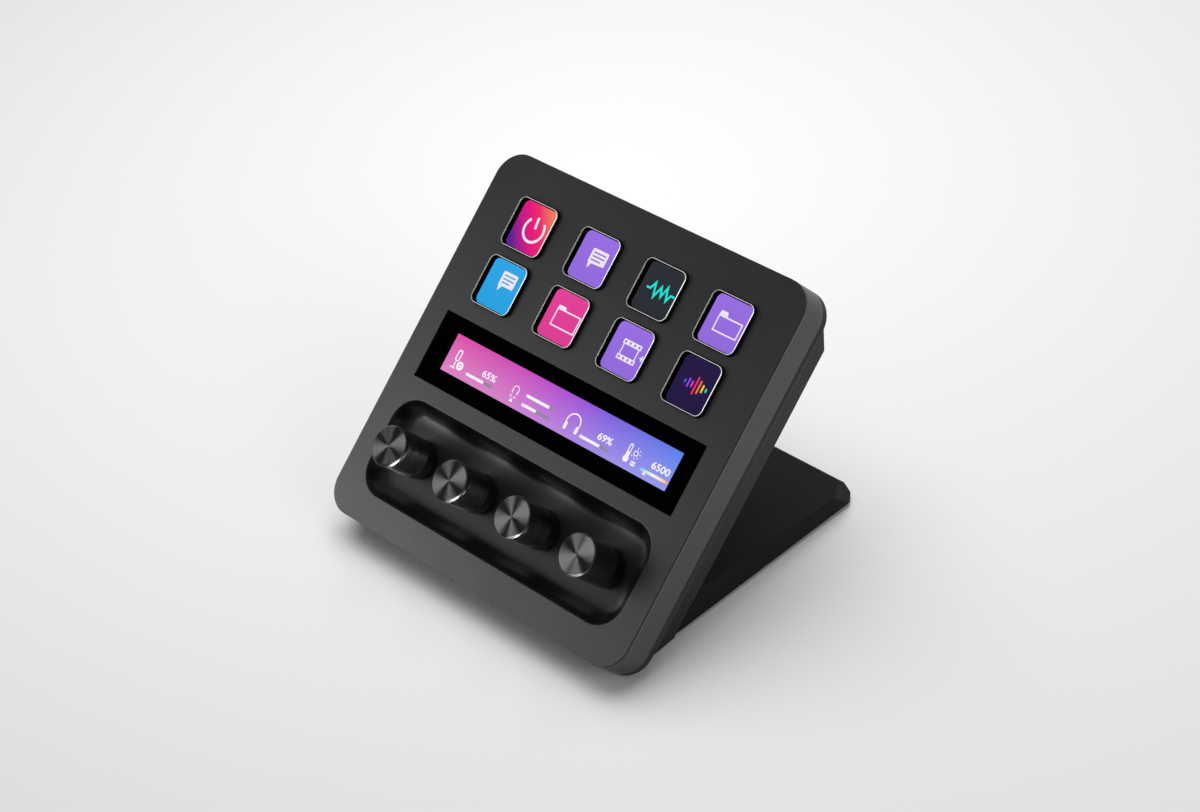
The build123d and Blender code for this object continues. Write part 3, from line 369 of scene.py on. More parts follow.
def film(name, colour, line_colour, line_mm):
    """Thin plastic film with printed conductors, each wave 2 pi times line_mm long."""
    own_rate = 20.0  # the wave texture has this factor built in
    material = new_finish(name, colour, 0.35)
    lines = pattern(material, "ShaderNodeTexWave", Scale=1.0 / (line_mm * mm) / own_rate)
    tint = mixed(material, lines.outputs["Fac"], colour, line_colour)
    into_shader(material, tint, "Base Color")
    return material


board_finish = board_lacquer("green_board")
chip_finish = moulded("chip_epoxy", (0.012, 0.012, 0.013), 0.5, grain_mm=0.08)
flex_finish = film("flex_film", (0.35, 0.14, 0.03), (0.25, 0.09, 0.02), 0.5)
contact_finish = film("contact_film", (0.012, 0.012, 0.013), (0.03, 0.03, 0.032), 1.2)
screen_finish = new_finish("unlit_screen", (0.001, 0.001, 0.001), 0.3, specular=0.0)
bumped(screen_finish, noise(screen_finish, 2000.0), 0.1, 0.002)
print("boards and films ready")

# %% [markdown]
# ## Handing the finishes out
#
# The loaded nodes keep their shape; only what fills their material slots changes. A node
# that isn't named in the list below is left for later: some get their finish further down,
# and for others a finer piece stands in.

# %% Give every loaded node its finish
finish_of = {
    "face_plate": face_finish,
    "side_frame": frame_finish,
    "rear_shell": shell_finish,
    "stand_shell": stand_finish,
    "stand_cover": stand_finish,
    "chassis": chassis_finish,
    "strip_gasket": gasket_finish,
    "strip_display": screen_finish,
    "key_display": screen_finish,
    "contact_sheet": contact_finish,
    "spring_mat": mat_finish,
    "main_board": board_finish,
    "encoder_board": board_finish,
    "port_board": board_finish,
    "board_chips": chip_finish,
    "flex_cables": flex_finish,
    "encoder_housings": encoder_finish,
    "usb_port": port_finish,
    "ballast_plate": ballast_finish,
    "stand_pad": pad_finish,
    "front_pad": pad_finish,
}
for name in nodes:
    if name.endswith("_screws"):
        finish_of[name] = screw_finish
    elif name.startswith("encoder_shaft"):
        finish_of[name] = shaft_finish
    elif name.startswith("push_plunger"):
        finish_of[name] = plunger_finish


gentle_edge = 28  # degrees


def dress(node_name, material):
    """Put one material on a loaded node and smooth its gentle edges."""
    mesh = nodes[node_name].data
    mesh.materials.clear()
    mesh.materials.append(material)
    mesh.shade_smooth()
    mesh.set_sharp_from_angle(angle=math.radians(gentle_edge))


for name, material in finish_of.items():
    dress(name, material)
print("dressed", len(finish_of), "nodes; left for later:", sorted(set(nodes) - set(finish_of)))

# %% [markdown]
# ## Outlines drawn in millimetres
#
# A rounded rectangle is the outline behind nearly everything here: lenses, picture tiles,
# bars and badges. We write it once as a list of points, going round anticlockwise. A disc
# and a stroke along a line are the other two outlines that the small drawings need.

# %% Outline helpers
def rounded(width, height, corner, centre=(0.0, 0.0), steps=6):
    """Points of a rounded rectangle, anticlockwise, in millimetres."""
    points = []
    for quarter, (side_x, side_y) in enumerate(((1, 1), (-1, 1), (-1, -1), (1, -1))):
        middle_x = centre[0] + side_x * (width / 2 - corner)
        middle_y = centre[1] + side_y * (height / 2 - corner)
        for step in range(steps + 1):
            turn = math.radians(90) * (quarter + step / steps)
            points.append(
                (middle_x + corner * math.cos(turn), middle_y + corner * math.sin(turn))
            )
    return points


def disc(radius, centre=(0.0, 0.0), steps=32):
    """Points of a circle."""
    return [
        (
            centre[0] + radius * math.cos(2 * math.pi * step / steps),
            centre[1] + radius * math.sin(2 * math.pi * step / steps),
        )
        for step in range(steps)
    ]


def stroke(path, width):
    """The outline of a line of a given width, with mitred corners and square ends."""
    points = [Vector(point) for point in path]
    ways = [(after - here).normalized() for here, after in zip(points, points[1:])]
    least_cosine = 0.3
    left, right = [], []
    for here, way_in, way_out in zip(points, ways[:1] + ways, ways + ways[-1:]):
        normal = Vector((-(way_in + way_out).y, (way_in + way_out).x)).normalized()
        cosine = normal.dot(Vector((-way_in.y, way_in.x)))
        reach = width / 2 / max(least_cosine, cosine)
        left.append(tuple(here + normal * reach))
        right.append(tuple(here - normal * reach))
    return left + right[::-1]


def arc(radius, start, end, centre=(0.0, 0.0), steps=24):
    """Points along an arc, its angles in degrees."""
    turns = [math.radians(start + (end - start) * step / steps) for step in range(steps + 1)]
    return [
        (centre[0] + radius * math.cos(turn), centre[1] + radius * math.sin(turn))
        for turn in turns
    ]


print("a small square's outline has", len(rounded(4.0, 4.0, 1.0)), "points")

# %% [markdown]
# ## From outlines to meshes
#
# Two ways of making a mesh cover every piece in this lesson. `skin` joins a stack of
# outlines with the same number of points, ring to ring, which suits lenses and knobs.
# `drawing` fills flat outlines, and an outline inside another one becomes a hole, which
# suits the pictures: Blender's 2-D curves do that filling for us.

# %% Mesh helpers
def new_piece(name, mesh, materials, matrix, body, smooth_angle=gentle_edge):
    """Link a mesh as a piece in the room, with its finish, body and material slot."""
    piece = bpy.data.objects.new(name, mesh)
    bpy.context.scene.collection.objects.link(piece)
    if not mesh.materials:
        for material in materials:
            mesh.materials.append(material)
    mesh.shade_smooth()
    mesh.set_sharp_from_angle(angle=math.radians(smooth_angle))
    piece.matrix_world = matrix
    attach(piece, body)
    return piece


def skin(name, rings):
    """A closed mesh that joins rings of points (x, y, z) in millimetres, one to the next."""
    count = len(rings[0])
    points = [Vector(point) * mm for ring in rings for point in ring]
    faces = []
    for level in range(len(rings) - 1):
        for index in range(count):
            beside = (index + 1) % count
            low, high = level * count, (level + 1) * count
            faces.append((low + index, low + beside, high + beside, high + index))
    faces.append(tuple(reversed(range(count))))
    faces.append(tuple(range((len(rings) - 1) * count, len(rings) * count)))
    mesh = bpy.data.meshes.new(name)
    mesh.from_pydata(points, [], faces)
    mesh.update()
    return mesh


def at_level(outline, level):
    return [(x, y, level) for x, y in outline]


def drawing(name, outlines):
    """A flat mesh filled from outlines in millimetres; nested ones are holes."""
    curve = bpy.data.curves.new(name + "_lines", "CURVE")
    curve.dimensions = "2D"
    curve.fill_mode = "BOTH"
    for outline in outlines:
        spline = curve.splines.new("POLY")
        spline.points.add(len(outline) - 1)
        for point, (x, y) in zip(spline.points, outline):
            point.co = (x * mm, y * mm, 0.0, 1.0)
        spline.use_cyclic_u = True
    holder = bpy.data.objects.new(name + "_lines", curve)
    mesh = bpy.data.meshes.new_from_object(holder)
    mesh.name = name
    bpy.data.objects.remove(holder)
    bpy.data.curves.remove(curve)
    return mesh


def face_place(x, y, out=0.0):
    """The matrix of a piece whose own origin is at a point of the face."""
    return face_matrix @ Matrix.Translation(Vector((x, y, out)) * mm)


print("mesh helpers ready")

# %% [markdown]
# ## The clear keys
#
# Each key is a block of clear acrylic, 17.87 mm square and 3 mm thick. Its top edge is
# rounded and its lower part, the plug, sits in a thin black carrier. The plug's sides are
# printed black, so that no light leaks from one picture to the next; that is why a dark
# band shows at one side when you look in at an angle. One mesh with three materials does
# this: acrylic on the top and the bottom, black on the plug's sides and the cap's underside,
# and a polished finish on the cap's rounded edge, which glints like a thin bright line.
#
# A real key is a thin window with air below it, and bends light very little on its way to
# the picture. Our block is solid, so its index of refraction is set low to do the same.

# %% Where the keys are
key_side, key_corner = 17.87, 2.6
plug_side, plug_corner = 16.81, 2.07
key_top = 1.47
key_thickness = 3.0
display_out = -3.1
column_pitch = 29.86
columns = [(column - 1.5) * column_pitch for column in range(4)]
key_rows = (114.3, 92.5)
key_spots = [(x, row) for row in key_rows for x in columns]
for number in (1, 8):
    low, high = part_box(f"key_lens_{number}")
    middle = face_matrix.inverted() @ ((low + high) / 2)
    print(f"key {number}: wanted {key_spots[number - 1]}, CAD", tuple(middle / mm)[:2])


# %% Acrylic and its black print
def clear(name, refraction, wipe_scale, wipe_detail):
    """Clear stuff with an index of refraction and faint traces of wiping."""
    material = new_finish(name, (1.0, 1.0, 1.0), 0.0)
    shader_of(material).inputs["Transmission Weight"].default_value = 1.0
    shader_of(material).inputs["IOR"].default_value = refraction
    traces = noise(material, wipe_scale, wipe_detail)
    wiped = mixed(material, traces, (0.97, 0.97, 0.97), (1.0, 1.0, 1.0))
    into_shader(material, wiped, "Base Color")
    return material


acrylic = clear("clear_acrylic", 1.1, 90.0, 5.0)
shader_of(acrylic).inputs["Specular Tint"].default_value = (0.0, 0.0, 0.0, 1.0)
black_print = moulded("black_print", (0.0006, 0.0006, 0.0006), 0.8, grain_mm=0.1, specular=0.0)
polished_edge = rolled("polished_edge", (0.96, 0.96, 0.97), 0.18, stretch=(1.0, 1.0, 1.0))
carrier_finish = moulded("key_carrier", (0.004, 0.004, 0.004), 0.35, grain_mm=0.1, specular=0.1)
lens_finishes = (acrylic, black_print, polished_edge)
print("a lens has", [finish.name for finish in lens_finishes])

# %% The lens mesh, shared by all eight keys
cap_height, cap_chamfer = 0.6, 0.05
cap_low = key_top - cap_height
rim_rounding, rim_steps = 0.2, 6


def square_ring(side, corner, level):
    """A rounded square at a level, as one ring of a skin."""
    return at_level(rounded(side, side, corner), level)


lens_rings = [
    square_ring(plug_side, plug_corner, key_top - key_thickness),
    square_ring(plug_side, plug_corner, cap_low),
    square_ring(key_side - 2 * cap_chamfer, key_corner - cap_chamfer, cap_low),
    square_ring(key_side, key_corner, cap_low + cap_chamfer),
]
for step in range(rim_steps + 1):
    turn = math.radians(90) * step / rim_steps
    inset = rim_rounding * (1 - math.cos(turn))
    level = key_top - rim_rounding * (1 - math.sin(turn))
    lens_rings.append(square_ring(key_side - 2 * inset, key_corner - inset, level))
lens_mesh = skin("lens", lens_rings)
for material in lens_finishes:
    lens_mesh.materials.append(material)
printed_faces = 2 * len(lens_rings[0])
for polygon in lens_mesh.polygons[:-2]:
    polygon.material_index = 1 if polygon.index < printed_faces else 2
print("lens:", len(lens_mesh.polygons), "faces")

# %% Put a lens on every key
for number, (x, y) in enumerate(key_spots, start=1):
    lens = new_piece(
        f"lens_{number}", lens_mesh, (), face_place(x, y), f"key_{number}", 20
    )
    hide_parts(f"key_lens_{number}")
    dress(f"key_carrier_{number}", carrier_finish)
print("eight lenses in place")

# %% [markdown]
# ## Pictures under the keys
#
# One display lies under all eight keys, so a picture doesn't move when its key is pressed.
# A lit picture is simply a surface that gives off light of its own colour. Each tile gets a
# material whose colour runs along a direction through a colour ramp, and a raster too fine
# to see from a distance, as every display has. The tiles lie a millimetre to the left of
# their keys' middles, which looks from the right as if the display lay a little deeper.

# %% A lit finish
raster_mm = 0.22


def lit(name, stops, way=(1.0, 0.0), span=20.0):
    """Light whose colour runs through stops (position, colour) along a way, in millimetres."""
    material = new_finish(name, (0.0, 0.0, 0.0), 0.6, specular=0.0)
    shader_of(material).inputs["Emission Strength"].default_value = 1.0
    length = math.hypot(*way)
    run = along(material, (way[0] / length, way[1] / length, 0.0))
    ramp = add_node(material, "ShaderNodeValToRGB")
    join(material, ranged(material, run, -span / 2 * mm, span / 2 * mm), ramp.inputs["Fac"])
    elements = ramp.color_ramp.elements
    while len(elements) < len(stops):
        elements.new(0.5)
    for element, (position, colour) in zip(elements, stops):
        element.position = position
        element.color = (*colour, 1.0)
    raster = pattern(material, "ShaderNodeTexChecker", Scale=1.0 / (raster_mm * mm),
                     Color1=(1.0, 1.0, 1.0, 1.0), Color2=(0.97, 0.97, 0.97, 1.0))
    fade = add_node(material, "ShaderNodeMix", data_type="RGBA", blend_type="MULTIPLY",
                    Factor=1.0)
    join(material, ramp.outputs["Color"], fade.inputs["A"])
    join(material, raster.outputs["Color"], fade.inputs["B"])
    into_shader(material, fade.outputs["Result"], "Emission Color")
    return material


def srgb(red, green, blue):
    """A colour given as display values of 0 to 255, as linear light."""
    return tuple(
        (v / 255 / 12.92) if v <= 10 else ((v / 255 + 0.055) / 1.055) ** 2.4
        for v in (red, green, blue)
    )


def plain_lit(name, colour):
    """Almost one colour, a little lighter at the top."""
    return lit(name, [(0.0, scaled(colour, 0.95)), (1.0, scaled(colour, 1.05))], way=(0.0, 1.0))


violet = srgb(150, 110, 225)
ink = plain_lit("picture_ink", srgb(240, 232, 245))
cyan_ink = plain_lit("cyan_ink", srgb(30, 230, 215))
backgrounds = [
    lit("sunset_picture", [(0.12, srgb(98, 34, 150)), (0.45, srgb(232, 25, 125)),
                           (0.62, srgb(238, 45, 110)), (0.95, srgb(247, 150, 80))],
        way=(1.0, 0.75), span=24.0),
    plain_lit("violet_picture", violet),
    plain_lit("slate_picture", srgb(45, 48, 54)),
    plain_lit("violet_picture_2", violet),
    plain_lit("sky_picture", srgb(45, 165, 230)),
    plain_lit("rose_picture", srgb(225, 65, 150)),
    plain_lit("violet_picture_3", violet),
    plain_lit("indigo_picture", srgb(38, 28, 70)),
]
print(len(backgrounds), "picture finishes")

# %% The tiles
tile_outline = rounded(20.2, 17.1, 0.4)
tile_shift = -1.0
picture_lift, sign_lift = 0.02, 0.035


def on_display(name, outlines, finish, key_number, lift=sign_lift):
    """A flat piece a little way out of the display, under a key."""
    x, y = key_spots[key_number - 1]
    new_piece(name, drawing(name, outlines), (finish,),
              face_place(x + tile_shift, y, display_out + lift), "case")


for number, finish in enumerate(backgrounds, start=1):
    on_display(f"picture_{number}", [tile_outline], finish, number, picture_lift)
print("tiles lie", display_out + picture_lift, "mm out of the face")

# %% [markdown]
# ## Drawings on the pictures
#
# The icons are plain signs that anyone would draw: a power ring, speech bubbles, a wave,
# folders, a film frame and a row of level bars. Each is one flat mesh filled from outlines,
# so its edges stay sharp at any zoom. A frame is an outline with a smaller one inside it.

# %% Icon outlines
def frame_outline(width, height, line, centre, corner=0.2):
    """The two outlines of a rectangular frame."""
    return [
        rounded(width, height, corner, centre, steps=2),
        rounded(width - 2 * line, height - 2 * line, 0.05, centre, steps=2),
    ]


def bubble(left, right, low, high, tail):
    """A speech bubble with three written lines left open in it, the last one shorter."""
    line_width, line_inset, last_line_inset, tail_inset = 0.5, 0.9, 2.2, 1.9
    middle = ((left + right) / 2, (low + high) / 2)
    body = rounded(right - left, high - low, 0.6, middle, steps=3)
    corner_index = min(
        range(len(body)), key=lambda i: (body[i][0] - left) ** 2 + (body[i][1] - low) ** 2
    )
    tail_points = [tail, (left + tail_inset, low)]
    shapes = [body[: corner_index + 1] + tail_points + body[corner_index + 4:]]
    gap = (high - low) / 4
    for line, end_inset in enumerate((line_inset, line_inset, last_line_inset), start=1):
        level = high - gap * line
        ends = [(left + line_inset, level), (right - end_inset, level)]
        shapes.append(stroke(ends, line_width))
    return shapes


def folder(left, right, low, high, tab_rise):
    """A folder drawn as a frame with a filled tab at its upper left."""
    line = 0.5
    width, height = right - left, high - low
    middle = ((left + right) / 2, (low + high) / 2)
    tab_width = 0.32 * width
    tab = [
        (left, high + 0.05),
        (left + 0.3, high + tab_rise),
        (left + tab_width - 0.3, high + tab_rise),
        (left + tab_width + 0.3, high + 0.05),
    ]
    return frame_outline(width, height, line, middle) + [tab]


def film_frame(left, right, low, high):
    """A film frame: two perforated bars joined by two thin sides."""
    bar, hole, hole_count = 1.7, 0.8, 4
    side_width, side_inset = 0.45, 0.7
    shapes = []
    for level in (low + bar / 2, high - bar / 2):
        shapes.append(rounded(right - left, bar, 0.15, ((left + right) / 2, level), steps=2))
        pitch = (right - left) / hole_count
        for index in range(hole_count):
            spot = (left + pitch * (index + 0.5), level)
            shapes.append(rounded(hole, hole, 0.1, spot, steps=2))
    for side in (left + side_inset, right - side_inset):
        shapes.append(rounded(side_width, high - low - 2 * bar - 0.02, 0.1,
                              (side, (low + high) / 2), steps=2))
    return shapes


print("icon helpers ready")

# %% Seven icons
power_ring = stroke(arc(4.3, 135, 405, (0.1, -0.1), 40), 0.95)
power_bar = stroke([(-0.2, 4.4), (0.35, 0.3)], 0.95)
icons = [
    [power_ring, power_bar],
    bubble(-3.1, 4.2, -1.6, 3.6, (-2.2, -3.6)),
    [stroke([(-6.0, -0.2), (-4.4, -0.2), (-3.2, 2.1), (-1.8, -2.4), (-0.3, 1.5), (0.9, -1.4),
             (2.1, 2.2), (3.5, -2.0), (4.5, 0.2), (6.2, 0.2)], 0.75)],
    folder(-4.7, 5.65, -3.6, 2.1, 1.5),
    bubble(-2.9, 3.9, 0.1, 5.3, (-2.1, -1.9)),
    folder(-5.0, 6.0, -3.9, 2.5, 1.0),
    film_frame(-4.0, 4.0, -3.6, 3.4)
    + [[(4.9, -0.6), (5.6, -0.6), (5.6, -1.3), (6.1, -1.3), (6.1, -0.6), (6.8, -0.6),
        (6.8, -0.1), (6.1, -0.1), (6.1, 0.6), (5.6, 0.6), (5.6, -0.1), (4.9, -0.1)]],
]
for number, outlines in enumerate(icons, start=1):
    on_display(f"icon_{number}", outlines, cyan_ink if number == 3 else ink, number)
print(len(icons), "icons drawn")

# %% Level bars of many colours
bar_colours = [srgb(70, 90, 240), srgb(150, 70, 235), srgb(225, 60, 200), srgb(240, 50, 90),
               srgb(250, 120, 40), srgb(245, 205, 50), srgb(60, 220, 170)]
bar_heights = (1.4, 3.2, 2.2, 6.2, 4.6, 2.8, 1.4)
bar_pitch, bar_width = 1.5, 0.7
for index, (colour, height) in enumerate(zip(bar_colours, bar_heights)):
    x = (index - (len(bar_heights) - 1) / 2) * bar_pitch
    finish = plain_lit(f"bar_ink_{index + 1}", colour)
    outline = rounded(bar_width, height, 0.3, (x, 0.0), steps=4)
    on_display(f"icon_8_bar_{index + 1}", [outline], finish, 8)
print(len(bar_heights), "level bars")

# %% [markdown]
# ## The touch strip
#
# Under one sheet of glass lies a long display that is lit in the middle only; the rest of
# the window is its black border. The glass is coated against reflections. An index of
# refraction of one does the same: nothing is mirrored, and the border stays deep black. The
# lit part is a tile on the display, with a gradient from pink over violet to blue, and a
# painted haze that grows towards its lower edge: a painted sheen, as on a display that is
# seen at a slant.

# %% Glass and border
strip_glass = clear("strip_glass", 1.0, 40.0, 4.0)
dress("touch_glass", strip_glass)

lit_middle = 65.1
lit_width, lit_height = 106.1, 13.5
strip_shift = -0.6
strip_out = -2.3
strip_low, strip_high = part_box("strip_display")
print("strip display from", tuple(strip_low), "to", tuple(strip_high))

# %% The lit strip
strip_gradient = lit(
    "strip_gradient",
    [(0.0, srgb(222, 84, 170)), (0.3, srgb(208, 80, 188)), (0.48, srgb(176, 82, 212)),
     (0.68, srgb(130, 98, 226)), (1.0, srgb(88, 132, 238))],
    way=(1.0, -0.12), span=lit_width,
)
up_the_strip = along(strip_gradient, (0.0, 1.0, 0.0))
lit_edge = lit_height / 2 * mm
# Painted sheen: a haze that grows towards the lower edge, as on a display seen at a slant.
glow = ranged(strip_gradient, up_the_strip, -lit_edge, lit_edge, 0.3, 0.0)
painted_slant_haze = mixed(strip_gradient, glow, feeding(strip_gradient, "Emission Color"),
             srgb(228, 205, 245))
into_shader(strip_gradient, painted_slant_haze, "Emission Color")


def strip_place(lift):
    """The matrix of a piece on the strip, a little way out of its display."""
    return face_place(strip_shift, lit_middle, strip_out + lift)


new_piece("strip_picture", drawing("strip_picture", [rounded(lit_width, lit_height, 0.2)]),
          (strip_gradient,), strip_place(picture_lift), "case")
print("lit part:", lit_width, "x", lit_height, "mm")

# %% [markdown]
# ## Signs on the strip
#
# Four small controls share the strip: a microphone, two small sliders, headphones and a
# thermometer with a sun. Their readouts are plain numbers in Blender's own font. A bar is a
# rounded rectangle: white as far as it is set, grey beyond.

# %% Strip signs
strip_white = plain_lit("strip_white", srgb(250, 246, 252))
strip_grey = plain_lit("strip_grey", srgb(150, 140, 160))


def on_strip(name, outlines, finish, lift=sign_lift):
    """A flat sign on the strip, drawn in the face's own millimetres."""
    moved = [[(x, y - lit_middle) for x, y in outline] for outline in outlines]
    new_piece(name, drawing(name, moved), (finish,), strip_place(lift), "case")


def bar(left, right, level):
    """One part of a slider's bar, a millimetre high."""
    return rounded(right - left, 1.0, 0.25, ((left + right) / 2, level), steps=3)


sliders = [
    (-42.05, -33.55, -29.35, 61.1),
    (-14.55, -3.75, -1.75, 64.3),
    (-14.75, -7.95, -1.65, 61.0),
    (12.75, 21.85, 26.05, 61.0),
]
on_strip("slider_bars", [bar(left, set_to, y) for left, set_to, right, y in sliders],
         strip_white)
on_strip("slider_rests", [bar(set_to, right, y) for left, set_to, right, y in sliders],
         strip_grey)
print(len(sliders), "sliders")


# %% Microphone, headphones, waves, thermometer and sun
def headphones(x, y, radius, line):
    """A band over two ear cups."""
    band = stroke(arc(radius, -12, 192, (x, y), 24), line)
    cup_width, cup_height = 0.42 * radius, 0.85 * radius
    drop = 0.62 * radius
    cups = [
        rounded(cup_width, cup_height, 0.3 * cup_width,
                (x + side * (radius - 0.35 * cup_width), y - drop), steps=3)
        for side in (-1, 1)
    ]
    return [band] + cups


microphone = [
    rounded(2.1, 4.2, 0.9, (-48.3, 65.3)),
    rounded(1.1, 3.2, 0.5, (-48.3, 65.3)),
    rounded(0.5, 1.7, 0.1, (-48.45, 62.1), steps=2),
    rounded(2.4, 0.5, 0.2, (-48.75, 60.85), steps=2),
]
badge = [disc(1.55, (-45.95, 62.3)), stroke(arc(0.8, 20, 160, (-45.95, 62.1), 12), 0.3),
         disc(0.28, (-45.95, 61.9), 12)]
broadcast = [[(-20.5, 60.0), (-18.8, 60.0), (-19.65, 61.2)]] + [
    stroke(arc(radius, start, start + 40, (-19.65, 60.9), 8), 0.28)
    for radius in (1.5, 0.85) for start in (25, 115)
]
thermometer = [
    rounded(1.5, 5.2, 0.7, (33.4, 64.3)),
    rounded(0.7, 2.2, 0.3, (33.4, 65.3)),
]
sun_middle = Vector((36.35, 64.6))
sun_ways = [Vector((math.cos(turn), math.sin(turn)))
            for turn in [math.radians(90 - 45 * ray) for ray in range(6)]]
sun = [disc(1.0, sun_middle, 20), disc(0.65, sun_middle, 20)] + [
    stroke([sun_middle + 1.45 * way, sun_middle + 2.05 * way], 0.3) for way in sun_ways
]
lamp_badge = [rounded(2.0, 1.5, 0.35, (36.9, 61.2), steps=3),
              disc(0.3, (36.45, 61.25), 12), disc(0.3, (37.35, 61.25), 12)]
print("a sun with", len(sun_ways), "rays")

# %% Put the signs on the strip
layer_gap = 0.001
signs = {
    "microphone": microphone, "microphone_badge": badge,
    "small_headphones": headphones(-19.55, 64.3, 1.3, 0.32), "broadcast": broadcast,
    "headphones": headphones(8.0, 63.7, 3.0, 0.5), "thermometer": thermometer,
    "thermometer_bulb": [disc(1.2, (33.4, 61.7), 20)],
    "sun": sun, "lamp_badge": lamp_badge,
}
for layer, (name, outlines) in enumerate(signs.items()):
    on_strip(f"strip_{name}", outlines, strip_white, sign_lift + layer_gap * layer)
print(len(signs), "signs")


# %% Readouts
readout_lift = 0.04


def readout(name, words, left, width, level, height):
    """Numbers set in Blender's own font, stretched to a given width and height."""
    text = bpy.data.curves.new(name, "FONT")
    text.body = words
    text.size = 1.0
    text.offset = 0.022  # a little bolder
    holder = bpy.data.objects.new(name, text)
    mesh = bpy.data.meshes.new_from_object(holder)
    bpy.data.objects.remove(holder)
    corners = [vertex.co for vertex in mesh.vertices]
    text_left, text_low = min(co.x for co in corners), min(co.y for co in corners)
    scale_x = width * mm / (max(co.x for co in corners) - text_left)
    scale_y = height * mm / (max(co.y for co in corners) - text_low)
    low = level - lit_middle - height / 2
    for co in corners:
        co.x = left * mm + (co.x - text_left) * scale_x
        co.y = low * mm + (co.y - text_low) * scale_y
    return new_piece(name, mesh, (strip_white,), strip_place(readout_lift), "case")


for name, words, left, width in (
    ("readout_first", "65%", -35.65, 6.5),
    ("readout_third", "69%", 19.45, 6.5),
    ("readout_fourth", "6500", 43.9, 7.9),
):
    print(name, readout(name, words, left, width, level=64.0, height=2.5).dimensions)

# %% The colour slider at the right
warmth_width = 12.5
warmth = lit("warmth_bar", [(0.0, srgb(90, 205, 250)), (0.45, srgb(250, 248, 240)),
                            (0.75, srgb(255, 225, 190)), (1.0, srgb(250, 160, 90))],
             span=warmth_width)
warmth_bar = drawing("warmth_bar", [rounded(warmth_width, 1.0, 0.3, steps=3)])
new_piece("warmth_bar", warmth_bar, (warmth,),
          face_place(46.5 + strip_shift, 61.0, strip_out + readout_lift), "case")
marker = [(41.9, 59.7), (43.5, 59.7), (42.7, 60.9)]
on_strip("warmth_marker", [marker], strip_white, lift=0.05)
print("colour slider placed")

# %% [markdown]
# ## Knurled knobs
#
# A knob is turned from aluminium and blackened. Its barrel is knurled: two sets of fine
# helical grooves cross and leave rows of little pyramids. Above it a smooth rim is cut
# after the blackening, so it is bright, and a thin disc of spun metal closes the top. Bump
# alone would leave the knob's outline smooth, so the knurl is real geometry: a grid of
# points round the barrel, every second one lower, like a chessboard. Each four-cornered
# face is then split along its two low corners, so that every high point becomes a pyramid
# with flat sides. The blackening wears off the points first, which makes them lighter, and
# the grooves are painted darker than the blackening, as painted shade. So the distance
# from the knob's axis decides how bright the metal is.

# %% Knob sizes
knob_line = 28.3
knob_spots = [(x, knob_line) for x in columns]
skirt_radius, skirt_bottom, skirt_top, skirt_chamfer = 6.85, -4.2, 0.3, 0.3
peak_radius, groove_radius = 7.05, 6.78
knurl_low, knurl_high = 0.5, 11.7
knurl_around, knurl_up = 144, 38
neck_radius, neck_low, neck_top = 6.75, 11.85, 12.3
rim_radius, rim_top, rim_chamfer = 7.25, 13.1, 0.3
cap_radius, cap_top, cap_bottom, cap_fit = 6.85, 13.25, 12.45, 0.03
bore_radius, bore_end = 3.03, 8.2
low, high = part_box("knob_body_2")
print("CAD knob:", (face_matrix.inverted() @ ((low + high) / 2)) / mm)


# %% The knob's mesh
def circle(radius, level, count=knurl_around):
    return at_level(disc(radius, steps=count), level)


def knurled_circle(level, row):
    """A ring of the knurl: every second point stands out, turn about from row to row."""
    peaks, grooves = circle(peak_radius, level), circle(groove_radius, level)
    return [(grooves if (i + row) % 2 else peaks)[i] for i in range(knurl_around)]


knob_rings = [
    circle(bore_radius, bore_end), circle(bore_radius, skirt_bottom),
    circle(skirt_radius - skirt_chamfer, skirt_bottom),
    circle(skirt_radius, skirt_bottom + skirt_chamfer),
    circle(skirt_radius, skirt_top), circle(groove_radius, knurl_low - 0.1),
]
skirt_ring_count = len(knob_rings) - 1
for row in range(knurl_up + 1):
    level = knurl_low + (knurl_high - knurl_low) * row / knurl_up
    knob_rings.append(knurled_circle(level, row))
rings_below_cut = 4
rim_ring_start = len(knob_rings) + rings_below_cut
knob_rings += [
    circle(neck_radius, neck_low), circle(neck_radius, neck_top),
    circle(rim_radius - rim_chamfer, neck_top), circle(rim_radius, neck_top + rim_chamfer),
    circle(rim_radius, rim_top - rim_chamfer), circle(rim_radius - rim_chamfer, rim_top),
    circle(cap_radius + cap_fit, rim_top), circle(cap_radius + cap_fit, cap_bottom),
]
knob_mesh = skin("knurled_knob", knob_rings)
print("knob:", len(knob_mesh.polygons), "faces, knurl pitch",
      round(2 * math.pi * peak_radius / (knurl_around / 2), 2), "mm")


# %% Knob finishes
def from_axis(material):
    """Distance from the piece's own Z axis, in metres."""
    flat = add_node(material, "ShaderNodeVectorMath", operation="MULTIPLY")
    join(material, place_of(material), flat.inputs[0])
    flat.inputs[1].default_value = (1.0, 1.0, 0.0)
    length = add_node(material, "ShaderNodeVectorMath", operation="LENGTH")
    join(material, flat.outputs["Vector"], length.inputs[0])
    return length.outputs["Value"]


blackened = rolled("blackened_knurl", (0.03, 0.03, 0.0305), 0.28, stretch=(1.0, 1.0, 8.0))
# Lighter peaks are wear; grooves darker than the blackening are painted shade.
wear_and_shade_start = groove_radius + 0.13
wear_and_groove_shade = ranged(blackened, from_axis(blackened), wear_and_shade_start * mm, peak_radius * mm)
worn_peaks_shaded_grooves = mixed(blackened, wear_and_groove_shade, (0.002, 0.002, 0.002), (0.05, 0.05, 0.0505))
into_shader(blackened, worn_peaks_shaded_grooves, "Base Color")
skirt_finish = moulded("matt_skirt", (0.004, 0.004, 0.004), 0.5, grain_mm=0.15, specular=0.05)
cut_rim = rolled("cut_rim", (0.022, 0.022, 0.0222), 0.25, stretch=(1.0, 1.0, 20.0))
print("knob finishes:", skirt_finish.name, blackened.name, cut_rim.name)

